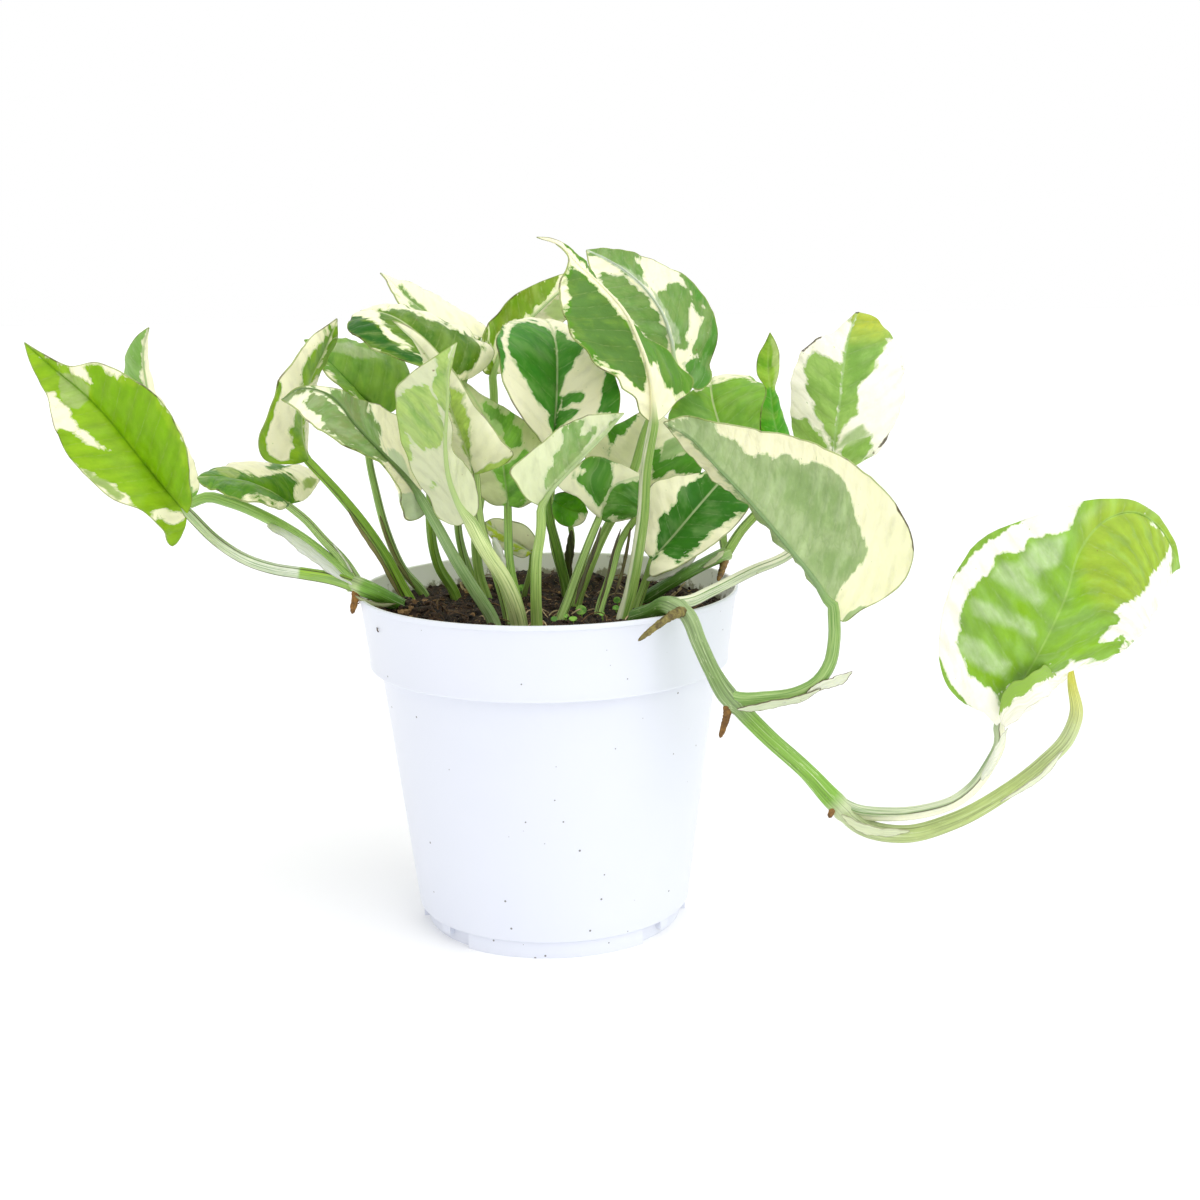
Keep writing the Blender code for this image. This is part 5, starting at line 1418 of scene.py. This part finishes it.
def blade_finish(name, look, seed, pallor):
    """A variegated blade: cream with ragged green, veins, a rib line, a thin margin and small specks."""
    green, deep, pale = (linear(look[key]) for key in ("green", "deep", "pale"))
    cream = linear(look.get("cream", CREAM))
    if pallor > 0:
        green, deep = blended(green, pale, pallor), blended(deep, pale, pallor)
    if pallor < 0:
        green = blended(green, deep, -pallor)
    finish = Finish(name)
    flat, place = finish.uv(), finish.place()
    across, along, _ = finish.parts(flat)
    ragged = finish.noise(flat, (28, 38, 1), 6, 0.62, (seed * 3.1, seed * 7.7, 0))
    broad = finish.noise(flat, (9, 12, 1), 5, 0.6, (seed * 1.3, seed * 5.1, 0))
    dots = finish.noise(flat, (62, 110, 1), 3, 0.6, (seed * 2.3, seed * 4.3, 0))
    blotch = finish.noise(flat, (13, 19, 1), 3, 0.5, (seed * 4.1, 0, 0))
    folds = finish.noise(flat, (17, 26, 1), 4, 0.6, (0, seed * 3.3, 0))
    mottle = finish.noise(place, 260, 4, 0.6)
    to_margin = finish.attribute("to_margin")

    # Ragged green on cream, with small flecks of each in the other
    lobes = finish.cells(finish.mapped(flat, (22, 34, 1), (seed * 0.7, seed * 1.9, 0)), Randomness=0.9)
    field = finish.add(
        finish.attribute("green"), finish.scaled(ragged, 3.4, -1.35),
        finish.scaled(lobes["Distance"], -1.5, 0.45), finish.step(to_margin, 0.0, 3.5, 1.3, 0.0),
    )
    is_green = finish.step(field, -0.14, 0.14)
    fleck = finish.step(finish.add(finish.scaled(dots, 40, -26.8), finish.scaled(field, 0.5)), -0.2, 0.5)
    hole = finish.sum("SUBTRACT", finish.scaled(dots, -40, 13.0), finish.scaled(field, 0.6))
    cream_part = finish.mix(broad, blended(cream, CREAM_SHADE, 0.25), cream)
    cream_part = finish.mix(finish.scaled(fleck, 0.8), cream_part, blended(green, pale, 0.35))
    soft = look.get("soft", 0.7)
    finish.tone = finish.mix(finish.step(broad, 0.42, 0.66, 0.0, 0.75), green, blended(green, deep, 0.8))
    is_deep = finish.step(finish.add(finish.attribute("deep"), finish.scaled(broad, 8, -4)), -soft, soft)
    finish.lay(is_deep, deep)
    finish.lay(finish.step(ragged, 0.52, 0.7, 0.0, 0.35), blended(green, pale, 0.5))
    finish.tone = finish.mix(is_green, cream_part, finish.tone)
    edge = finish.sum("SUBTRACT", finish.step(field, -0.75, -0.1), is_green)
    finish.lay(finish.scaled(edge, 0.55), pale)
    finish.lay(finish.scaled(finish.times(finish.step(hole, -0.2, 0.5), is_green), 0.6), pale)
    is_pale = finish.step(
        finish.add(finish.attribute("pale"), finish.scaled(broad, 5, -2.5)), -0.6 * soft, 0.6 * soft
    )
    finish.lay(is_pale, finish.mix(ragged, pale, blended(pale, cream, 0.3)))

    def lay_on_green(share, tone):
        finish.lay(finish.times(share, is_green), tone)

    if "gold" in look:
        ripe = finish.step(finish.add(finish.attribute("gold"), finish.scaled(broad, 3, -1.5)), -6.0, 2.0)
        lay_on_green(ripe, look["gold"])

    # Side veins, the fine net and hairs between them, and pale blotches
    wander = finish.scaled(broad, 0.35)
    veins = UV_LENGTH / look.get("vein_gap", VEIN_GAP)
    vein = finish.sum("PINGPONG", finish.add(finish.scaled(along, veins), wander), 0.5)
    vein_line = finish.times(finish.step(vein, 0.0, 0.06, 0.22, 0.0), finish.step(dots, 0.4, 0.6))
    lay_on_green(vein_line, blended(pale, cream, 0.2))
    stir = finish.node("TexNoise", {"Vector": finish.mapped(flat, (30, 30, 1)), "Scale": 1.0})
    stirred = finish.node("Mix", {0: 0.06, 4: flat, 5: stir.outputs["Color"]}, data_type="VECTOR").outputs[1]
    meshes = finish.mapped(stirred, (20, 26, 1), (seed, seed * 2.9, 0))
    net = finish.cells(meshes, "DISTANCE_TO_EDGE")["Distance"]
    net_share = look.get("net", 0.12)
    lay_on_green(finish.step(net, 0.0, 0.12, net_share, 0.0), deep)
    hairs = finish.sum("PINGPONG", finish.add(finish.scaled(along, 4 * veins), wander), 0.5)
    lay_on_green(finish.step(hairs, 0.0, 0.2, 0.1, 0.0), deep)
    lay_on_green(finish.step(blotch, 0.48, 0.66, 0.0, look.get("blotch", 0.3)), blended(green, pale, 0.7))

    # The rib, the margin, burnt places and specks
    from_rib = finish.sum("ABSOLUTE", across)
    rib = look.get("rib", blended(pale, cream, 0.35))
    finish.lay(finish.step(from_rib, 0.002, 0.0062, look.get("rib_share", 0.7), 0.0), rib)
    scorched = finish.mix(finish.step(broad, 0.5, 0.62), "#86994C", "#4E4426")
    finish.lay(finish.step(to_margin, 0.12, 0.5, look.get("outline", 0.8), 0.0), scorched)
    if "brown" in look:
        burnt = finish.add(finish.attribute("brown"), finish.scaled(ragged, 1.2, -0.6))
        finish.lay(finish.step(burnt, -0.2, 0.1, 0.0, 0.9), look["brown"])
    speck = finish.specks(finish.mapped(flat, (21, 21, 1), (seed, seed * 3.7, 0)), 0.05, 0.9)
    finish.lay(speck, BLADE_SPECK)

    # Light and shade over the swollen flesh
    # Painted shade and painted light: lighter between the side veins and darker along them, lighter and
    # darker over the noise of the folds, each by the leaf's own share, with a random mottle.
    most = look.get("swell", 0.07)
    swell = finish.times(finish.step(vein, 0.0, 0.5, -most, most), finish.step(blotch, 0.35, 0.6, 0.2, 1.0))
    fold_shade = 0.34 * look.get("fold_shade", 1.0)
    shade = finish.add(swell, finish.scaled(folds, fold_shade, 0.91 - fold_shade / 2), finish.scaled(mottle, 0.2))
    shade = finish.sum("MINIMUM", shade, finish.scaled(is_green, 0.3, 1.02))
    finish.tone = finish.bright(finish.tone, shade)
    height = finish.add(
        finish.scaled(is_green, 0.05), finish.scaled(finish.noise(place, 2600, 2, 0.5), 0.035),
        finish.step(vein, 0.0, 0.16, -0.05, 0.0), finish.step(net, 0.0, 0.3, -0.3 * net_share, 0.0),
        finish.scaled(mottle, 0.1),
    )
    finish.set("Specular IOR Level", 0.18)
    finish.glows(0.12)
    matt = 0.15 if pallor > 0 else 0.0
    return finish.made(finish.step(mottle, 0.3, 0.7, 0.34 + matt, 0.46 + matt), height, 0.8)


def stalk_finish(name, look, seed):
    """A leaf stalk: pale green with fine lines along it, cream down one side and a thin darker edge."""
    finish = Finish(name)
    flat = finish.uv()
    around, along, _ = finish.parts(flat)
    lines = finish.noise(flat, (34, 5, 1), 4, 0.6, (seed, 0, 0))
    bands = finish.noise(flat, (5, 2.2, 1), 3, 0.55, (seed * 2.1, 0, 0))
    tone = look.get("stalk", "#A6C666")
    finish.tone = finish.ramp(finish.scaled(along, 2.0), look["tones"]) if "tones" in look else tone
    finish.lay(finish.step(lines, 0.36, 0.56, 0.8, 0.0), blended(tone, "#3E7A18", 0.8))
    finish.lay(finish.step(lines, 0.56, 0.72, 0.0, 0.5), blended(tone, "#F2F5E0", 0.6))
    finish.lay(finish.step(bands, 0.5, 0.62, 0.0, 0.4), blended(tone, "#4F8A22", 0.6))
    if "streak" in look:
        side = finish.sum("ABSOLUTE", finish.scaled(around, 1.0, -look["streak"]))
        streak = finish.sum("SUBTRACT", finish.scaled(bands, 0.5, -0.08), side)
        finish.lay(finish.step(streak, -0.02, 0.05, 0.0, 0.85), "#F2F2D6")
    from_top = finish.sum("ABSOLUTE", finish.scaled(around, 1.0, -0.5))
    from_edge = finish.sum("ABSOLUTE", finish.scaled(from_top, 1.0, -0.135))
    edge = finish.step(from_edge, 0.004, 0.024, look.get("edge", 0.85), 0.0)
    finish.lay(edge, finish.mix(finish.step(bands, 0.4, 0.5), "#5C8A34", "#3E2F16"))
    finish.lay(finish.attribute("on_blade"), look.get("rib", "#B4CC8C"))
    speck = finish.specks(finish.mapped(flat, (5, 34, 1), (seed, seed * 3.7, 0)), 0.07, 0.88)
    finish.lay(speck, STALK_SPECK)
    mottle = finish.noise(finish.place(), 180)
    finish.tone = finish.bright(finish.tone, finish.scaled(mottle, 0.24, 0.88))
    finish.glows(0.12)
    return finish.made(finish.step(lines, 0.3, 0.7, 0.36, 0.48), finish.scaled(lines, 0.16), 0.8)


def sheath_finish(name, tone, torn, second):
    """A thin sheath round a stem: papery, with fine lines along it, a browned edge and a second colour."""
    finish = Finish(name)
    flat = finish.uv()
    lines = finish.noise(flat, (160, 9, 1), 4, 0.6)
    spots = finish.noise(flat, (60, 40, 1), 4, 0.6, (4, 7, 0))
    side = finish.add(finish.attribute("share_across"), finish.scaled(spots, 0.5, -0.25))
    finish.tone = finish.mix(finish.step(side, 0.42, 0.5), tone, second)
    finish.lay(finish.step(lines, 0.35, 0.65, 0.28, 0.0), "#7E8E55")
    finish.lay(finish.step(spots, 0.62, 0.7, 0.0, torn), SHEATH_BROWN)
    edge = finish.sum("SUBTRACT", finish.attribute("to_margin"), finish.scaled(spots, 0.7, -0.2))
    finish.lay(finish.step(edge, 0.0, 0.12, 0.3 + torn, 0.0), SHEATH_BROWN)
    finish.glows(0.12)
    return finish.made(finish.step(lines, 0.3, 0.7, 0.5, 0.7), finish.scaled(lines, 0.15), 0.8)


# Stems

def stem_rings(line, radii, marks):
    """Rings of a stem with low lengthwise ridges, and a raised ring at each mark where a leaf grew."""
    turns = np.linspace(0, 2 * math.pi, STEM_SIDES, endpoint=False)
    section = 1 + 0.035 * np.cos(5 * turns) + 0.015 * np.cos(13 * turns + 1)
    section = np.repeat(section[None], len(line), axis=0)
    run = lengths(line)
    wide = radii.copy()
    for mark in marks:
        wide += 0.35 * np.exp(-(((run - mark) / 0.9) ** 2))
        wide -= 0.12 * np.exp(-(((run - mark - 2.4) / 0.9) ** 2))
    return rings_round(line, unit(np.cross(line[-1] - line[-2], (0.3, 0.9, 0.1))), wide, section)


def stem(name, plan):
    """The stem of a vine, up out of the soil, ringed where its leaves grow."""
    course = placed(plan["course"])
    at = lengths(course)
    line = sampled(course, STEM_STEP)
    run = lengths(line)
    radii = np.interp(run / run[-1], at / at[-1], np.array(plan["thick"]) / 2)
    marks = []
    for leaf in plan["leaves"]:
        foot = placed(LEAVES[leaf]["stalk"])[-1]
        nearest = np.argmin(np.linalg.norm(line - foot, axis=1))
        marks.append(run[nearest] + radii[nearest] + 1.0)
    start = sampled(rooted(line)[:2], STEM_STEP)[:-1]
    line = np.concatenate([start, line])
    radii = np.concatenate([np.full(len(start), radii[0]), radii])
    marks = [mark + lengths(line)[len(start)] for mark in marks]
    return rolled(name, stem_rings(line, radii, marks), stem_finish(name, plan["tones"]))


def aerial_root(name, scatter, course, thick, dark, light):
    """A stubby, uneven root with a blunt tip."""
    line = sampled(placed(course), AIR_ROOT_STEP)
    shares = np.linspace(0, 1, len(line))
    radii = (thick + (AIR_ROOT_TIP - thick) * shares) / 2 * np.sqrt(1 - 0.98 * shares**14)
    radii = radii * scatter.uniform(0.94, 1.06, len(line))
    section = scatter.uniform(0.9, 1.1, (len(line), AIR_ROOT_SIDES))
    upper = unit(np.cross(line[-1] - line[0], (0.1, 0.9, 0.3)))
    return rolled("root", rings_round(line, upper, radii, section), root_finish(name + "_root", dark, light))


def vine(name):
    """A stem with its aerial roots, its sheaths and its leaves."""
    plan = VINES[name]
    scatter = np.random.default_rng(len(name))
    pieces = [stem(name, plan)]
    pieces += [aerial_root(name, scatter, *given) for given in plan["roots"]]
    pieces += [sheath(*given) for given in plan["sheaths"]]
    shown_piece(joined(pieces), "vine", name)
    for leaf in plan["leaves"]:
        leaf_piece(leaf, False, name)


def stem_finish(name, tones):
    """A stem: each internode in its own green, with fine lines along it, corky flecks and cream dashes."""
    finish = Finish(name)
    flat = finish.uv()
    lines = finish.noise(flat, (34, 3.5, 1), 5, 0.62, (3, 0, 0))
    dashes = finish.noise(flat, (36, 26, 1), 3, 0.6, (9, 4, 0))
    green = finish.ramp(finish.scaled(finish.parts(flat)[1], UV_LENGTH / STEM_TONES_LENGTH), tones)
    finish.tone = green
    finish.lay(finish.step(lines, 0.36, 0.54, 0.75, 0.0), finish.bright(green, 0.42))
    finish.lay(finish.step(lines, 0.55, 0.7, 0.0, 0.5), "#E2EBC8")
    finish.lay(finish.step(dashes, 0.62, 0.68, 0.0, 0.5), "#DCE6BC")
    finish.lay(finish.step(dashes, 0.33, 0.27, 0.0, 0.6), "#8A7A45")
    mottle = finish.noise(finish.place(), 150)
    finish.tone = finish.bright(finish.tone, finish.scaled(mottle, 0.24, 0.85))
    finish.glows(0.1)
    height = finish.add(finish.scaled(lines, 0.25), finish.scaled(dashes, 0.12))
    return finish.made(finish.step(lines, 0.3, 0.7, 0.38, 0.52), height, 0.8)


def root_finish(name, dark, light):
    """A stubby aerial root or a fibre: brown and corky."""
    finish = Finish(name)
    coarse = finish.noise(finish.place(), 600, 4, 0.65)
    finish.tone = finish.mix(finish.step(coarse, 0.3, 0.7), dark, light)
    return finish.made(finish.step(coarse, 0.3, 0.7, 0.65, 0.85), finish.scaled(coarse, 0.3))


# The pot

def corner(radius, height, *steps):
    """Points of a profile, as steps out and up from one corner."""
    return [(radius + out, height + up) for out, up in steps]


def pot_profile():
    """From the underside's middle out, up the outside, over the rim and down the inside to the floor."""
    foot_inside = FOOT_RADIUS - FOOT_WIDTH
    profile = [(DISC_RADIUS, BASE_UNDER), (foot_inside - FOOT_RING, BASE_UNDER), (foot_inside, BASE_UNDER)]
    profile.append((FOOT_RADIUS, BASE_UNDER))
    for k in range(7):
        turn = math.radians(15 * k)
        out, up = EDGE_ROUND * (1 - math.sin(turn)), EDGE_ROUND * (1 - math.cos(turn))
        profile.append((BODY_FOOT_RADIUS - out, BASE_UNDER + up))
    profile += corner(SHOULDER_RADIUS, BAND_FOOT, (-0.1, -2.2), (0.3, -0.4), (0.9, 0))
    profile += corner(BAND_FOOT_RADIUS, BAND_FOOT, (-0.8, 0), (0, 0.15), (0.3, 0.5), (0.35, 0.9), (0.1, 1.5))
    profile += corner(RIM_RADIUS, RIM_TOP, (-0.75, -2.0), (-0.65, -1.7), (-0.1, -1.4), (0, -1.0), (0, -0.35))
    profile += corner(RIM_RADIUS, RIM_TOP, (-0.12, -0.1), (-0.4, 0))
    profile += corner(RIM_RADIUS - WALL, RIM_TOP, (0.3, 0), (0, -0.3))
    profile += corner(BAND_FOOT_RADIUS - WALL, BAND_FOOT, (0, 3.0), (-0.5, 2.2))
    profile += corner(SHOULDER_RADIUS - WALL, BAND_FOOT, (0.4, -1.0), (0, -1.8))
    profile += corner(BODY_FOOT_RADIUS - WALL, BASE_TOP, (0, 2.0), (-0.6, 0.6), (-2.0, 0))
    return profile + [(DISC_RADIUS, BASE_TOP)]


def foot_faces(piece, height, parts):
    """Select the underside of the foot: its inner ring, and its outer ring where a part of it stands."""
    bpy.ops.object.mode_set(mode="EDIT")
    bpy.ops.mesh.select_mode(type="FACE")
    bpy.ops.mesh.select_all(action="DESELECT")
    bpy.ops.object.mode_set(mode="OBJECT")
    for polygon in piece.data.polygons:
        x, y = polygon.center.x / MM - POT_X, polygon.center.y / MM - POT_Y
        near = math.hypot(x, y) - (FOOT_RADIUS - FOOT_WIDTH)
        from_front = abs((math.degrees(math.atan2(y, x)) + 270) % 360 - 180)
        standing = near < 0 or any(low < from_front < high for low, high in parts)
        under = abs(polygon.center.z / MM - height) < 0.01
        polygon.select = under and standing and -FOOT_RING < near < FOOT_WIDTH


def pot():
    """The pot, turned from its profile, with its foot drawn down in two steps and its inside marked."""
    piece = lathe("nursery_pot", pot_profile(), POT_SIDES)
    height = BASE_UNDER
    for parts, deep in ((FOOT_PARTS + FOOT_TABS, TAB_DEPTH), (FOOT_PARTS, BASE_UNDER - TAB_DEPTH)):
        foot_faces(piece, height, parts)
        bpy.ops.object.mode_set(mode="EDIT")
        bpy.ops.mesh.extrude_region_move()
        bpy.ops.transform.translate(value=(0, 0, -deep * MM))
        bpy.ops.object.mode_set(mode="OBJECT")
        height -= deep
    heights = (BASE_UNDER, BAND_FOOT, BAND_FOOT + 0.1, RIM_TOP)
    radii = (BODY_FOOT_RADIUS, SHOULDER_RADIUS, BAND_FOOT_RADIUS, RIM_RADIUS)
    inside = []
    for vertex in piece.data.vertices:
        x, y, z = vertex.co / MM
        wall = np.interp(z, heights, radii)
        inside.append(float(z > BASE_UNDER and math.hypot(x - POT_X, y - POT_Y) < wall - 0.9))
    set_attribute(piece, "inside", inside)
    piece.data.materials.append(pot_finish())
    smooth(piece, POT_SMOOTH)
    shown_piece(piece, "pot", "pot")


def pot_finish():
    """Satin white plastic, faintly blue, with small specks, the dirt that watering leaves inside, and its
    inside painted lighter than the outside to lift the shade in it.
    """
    finish = Finish("white_plastic")
    place, inside = finish.place(), finish.attribute("inside")
    finish.tone = finish.mix(finish.noise(place, 14), "#DDE1ED", "#E5E8F1")
    finish.lay(finish.specks(finish.mapped(place, (200, 200, 200)), 0.075, 0.05), "#4E463C")
    # Painted light: the inside is laid nearly white, lighter than the outside, to lift the shade that falls
    # inside the pot.
    finish.lay(inside, "#F6F5F1")
    stain = finish.noise(place, 210, 5, 0.65)
    low = finish.step(finish.parts(place)[2], 0.097, 0.1065, 0.16, -0.12)
    dirt = finish.step(finish.add(stain, low), 0.5, 0.62, 0.0, 0.85)
    finish.lay(finish.times(dirt, inside), finish.mix(stain, "#4E3C28", "#A8A688"))
    finish.glows(0.15, PLASTIC_GLOW)
    finish.set("Specular IOR Level", 0.35)
    scuffs = finish.noise(place, (60, 60, 14), 5, 0.6)
    grain = finish.scaled(finish.noise(place, 900, 2), 0.02)
    return finish.made(finish.step(scuffs, 0.35, 0.7, 0.3, 0.42), grain, 0.5)


# The soil and what lies and grows on it

def ground(x, y):
    """How high the soil stands at a place about the pot's axis, in mm."""
    place = Vector((x, y, 0))
    lump = noise.fractal(place * 0.16, 0.8, 2.1, 5) * 1.7 + noise.noise(place * 0.7) * 0.7
    for heap, high in HEAPS:
        away = np.linalg.norm(VIEW.spot(*heap)[:2] - (x, y))
        lump += high * math.exp(-((away / HEAP_REACH) ** 2))
    return SOIL_TOP + lump


def strewn(scatter, reach, turns, shares):
    """A random place about the pot's axis, within ranges of half turns and of the disc's area."""
    turn = math.pi * scatter.uniform(*turns)
    away = reach * math.sqrt(scatter.uniform(*shares))
    return away * math.cos(turn), away * math.sin(turn)


def soil():
    """The fill, with a lumpy top, and loose crumbs, bark chips and fibres on it."""
    scatter = np.random.default_rng(7)
    edge = RIM_RADIUS - WALL - 1.3
    profile = [(DISC_RADIUS, BASE_TOP + 0.3), (BODY_FOOT_RADIUS - 4.0, BASE_TOP + 0.3)]
    profile.append((BODY_FOOT_RADIUS - WALL - 0.5, BASE_TOP + 3.0))
    profile.append((SHOULDER_RADIUS - WALL - 0.5, BAND_FOOT - 3.0))
    profile += [(BAND_FOOT_RADIUS - WALL - 0.5, BAND_FOOT + 3.5), (edge, SOIL_TOP - 0.8)]
    profile += [(edge - 0.9 * k, SOIL_TOP) for k in range(1, 60)]
    piece = lathe("soil_fill", profile, SOIL_SIDES)
    for vertex in piece.data.vertices:
        if vertex.co.z > (SOIL_TOP - 0.4) * MM:
            vertex.co.z += (ground(vertex.co.x / MM - POT_X, vertex.co.y / MM - POT_Y) - SOIL_TOP) * MM
    peat, chips = soil_finish("peat", "#0B0704", "#3E2A1C"), soil_finish("bark_chips", "#5E4326", "#A8865A")
    piece.data.materials.append(peat)
    smooth(piece, STEM_SMOOTH)
    piece = joined([piece] + crumbs(scatter, edge, peat, chips) + fibres(scatter, edge - 4))
    bpy.ops.object.transform_apply(location=True, rotation=True, scale=True)
    shown_piece(piece, "soil", "soil")


def crumbs(scatter, edge, peat, chips):
    """Crumbs from a few uneven ones, a quarter of them gathered at the front left; some are bark chips."""
    kinds = []
    for _ in range(CRUMB_KINDS):
        deselect()
        bpy.ops.mesh.primitive_ico_sphere_add(subdivisions=1, radius=MM)
        crumb = bpy.context.object
        for vertex in crumb.data.vertices:
            vertex.co = vertex.co * scatter.uniform(0.65, 1.3)
            vertex.co.z *= 0.75
        crumb.data.materials.append(peat)
        kinds.append(crumb)
    made = []
    for k in range(CRUMBS):
        x, y = strewn(scatter, edge, (0, 2), (0, 0.97))
        if k % 4 == 0:
            x, y = strewn(scatter, edge, (0.95, 1.4), (0.4, 0.97))
        place = Vector((POT_X + x, POT_Y + y, ground(x, y))) * MM
        twist = Matrix.Rotation(scatter.uniform(0, 6.3), 4, "Z") * scatter.uniform(0.45, 1.7)
        twist[3][3] = 1
        made.append(copied(kinds[k % CRUMB_KINDS], Matrix.Translation(place) @ twist))
        if k % CHIP_EVERY == 0:
            made[-1].data.materials[0] = chips
    for kind in kinds:
        bpy.data.objects.remove(kind)
    return made


def fibres(scatter, reach):
    """Root hairs and fibres that lie on the soil and loop up out of it, a third of them at the front left."""
    kinds = []
    for k in range(FIBRE_KINDS):
        turn = np.linspace(0, scatter.uniform(1.0, 2.8), 9)
        arch = np.sin(np.linspace(0, math.pi, 9)) * scatter.uniform(0.6, 2.2)
        line = np.stack([4.0 * np.sin(turn), 4.0 * (1 - np.cos(turn)), SOIL_TOP - 0.2 + arch], axis=1)
        radii = np.full(9, scatter.uniform(0.16, 0.32))
        rings = rings_round(line, np.array((0, 0, 1.0)), radii, np.ones((9, 6)))
        kinds.append(rolled("fibre", rings, root_finish("fibre", *FIBRE_TONES[k % len(FIBRE_TONES)])))
    about = Matrix.Translation(Vector(SHIFT) * MM)
    made = []
    for k in range(FIBRES):
        x, y = strewn(scatter, reach, (0, 2), (0, 1))
        if k % 3 == 0:
            x, y = strewn(scatter, reach, (0.95, 1.6), (0.3, 1))
        place = Matrix.Translation(Vector((x, y, ground(x, y) - SOIL_TOP)) * MM)
        twist = Matrix.Rotation(scatter.uniform(0, 6.3), 4, "Z")
        made.append(copied(kinds[k % FIBRE_KINDS], about @ place @ twist @ about.inverted()))
    for kind in kinds:
        bpy.data.objects.remove(kind)
    return made


def seedlings():
    """Tiny round-leaved seedlings, modelled once: a disc with a raised rim on a thin stem."""
    deselect()
    bpy.ops.mesh.primitive_circle_add(vertices=24, radius=0.5 * MM, fill_type="NGON", location=(0, 0, 0))
    disc = bpy.context.object
    edit_all()
    bpy.ops.mesh.extrude_region_move()
    bpy.ops.transform.translate(value=(0, 0, 0.08 * MM))
    for inset, up in ((0.14, 0.03), (0.28, -0.05)):
        bpy.ops.mesh.inset(thickness=inset * MM)
        bpy.ops.transform.translate(value=(0, 0, up * MM))
    end_edit()
    green = seedling_finish()
    disc.data.materials.append(green)
    smooth(disc, STEM_SMOOTH)
    made = []
    for across, down, size, tilt in SEEDLINGS:
        place = VIEW.at_height(across, down, SOIL_TOP + 2.2)
        tip = Matrix.Rotation(math.radians(tilt), 4, "X") @ Matrix.Diagonal((size, size * 0.85, size, 1))
        made.append(copied(disc, Matrix.Translation(Vector(place + SHIFT) * MM) @ tip))
        line = np.linspace(place + (0.3, 1.0, -2.8), place + (0, 0.2, 0), 5)
        rings = rings_round(line, np.array((0, 1.0, 0)), np.full(5, 0.2), np.ones((5, 8)))
        made.append(rolled("seedling_stem", rings, green))
    bpy.data.objects.remove(disc)
    shown_piece(named(joined(made), "seedlings"), "leaf", "soil")


def soil_finish(name, dark, light):
    """Damp peat or bark: dark crumbs with paler flecks."""
    finish = Finish(name)
    place = finish.place()
    coarse, fine = finish.noise(place, 320, 5, 0.65), finish.noise(place, 1500, 3, 0.6)
    finish.tone = finish.mix(finish.step(coarse, 0.35, 0.65), dark, light)
    finish.lay(finish.step(fine, 0.6, 0.67, 0.0, 0.75), "#A0825A")
    height = finish.add(finish.scaled(coarse, 0.8), finish.scaled(fine, 0.25))
    return finish.made(finish.step(fine, 0.3, 0.7, 0.8, 0.98), height)


def seedling_finish():
    """A tiny juicy leaf: mid-green with lighter patches."""
    finish = Finish("seedling")
    patches = finish.noise(finish.place(), 700)
    finish.tone = finish.mix(finish.step(patches, 0.4, 0.6), "#4E8A1E", "#8CC04A")
    return finish.made(finish.step(patches, 0.3, 0.7, 0.4, 0.55), finish.scaled(patches, 0.1))


# The camera, the floor and the light

def camera():
    bpy.ops.object.camera_add()
    made = bpy.context.object
    made.data.sensor_width = SENSOR
    made.data.lens = VIEW_FOCUS / PICTURE * SENSOR
    made.data.clip_start = 0.01
    turn = Matrix((VIEW.right, VIEW.up, -VIEW.forward)).transposed().to_4x4()
    made.matrix_world = Matrix.Translation((VIEW.eye + Vector(SHIFT)) * MM) @ turn
    bpy.context.scene.camera = made


def floor():
    deselect()
    bpy.ops.mesh.primitive_plane_add(size=FLOOR_SIZE)
    made = bpy.context.object
    made.name = "floor"
    finish = Finish("floor")
    finish.set("Base Color", (0.99, 0.99, 0.99, 1))
    finish.set("Roughness", 0.75)
    made.data.materials.append(finish.material)


def studio():
    world = bpy.data.worlds.new("studio")
    bpy.context.scene.world = world
    world.use_nodes = True
    background = world.node_tree.nodes["Background"]
    background.inputs["Color"].default_value = (1.0, 1.0, 1.0, 1)
    background.inputs["Strength"].default_value = STUDIO_LIGHT
    bpy.context.scene.view_settings.view_transform = "Standard"
    bpy.ops.object.light_add(type="SUN", location=KEY_PLACE)
    key = bpy.context.object
    key.name = "key"
    key.data.energy = KEY_LIGHT
    key.data.angle = math.radians(KEY_SOFTNESS)
    key.rotation_euler = (-Vector(KEY_PLACE)).to_track_quat("-Z", "Y").to_euler()


def main():
    camera()
    floor()
    studio()
    for name in VINES:
        vine(name)
    on_vines = {leaf for plan in VINES.values() for leaf in plan["leaves"]}
    for name in LEAVES:
        if name not in on_vines:
            leaf_piece(name, True, "leaf_" + name)
    pot()
    soil()
    seedlings()


main()
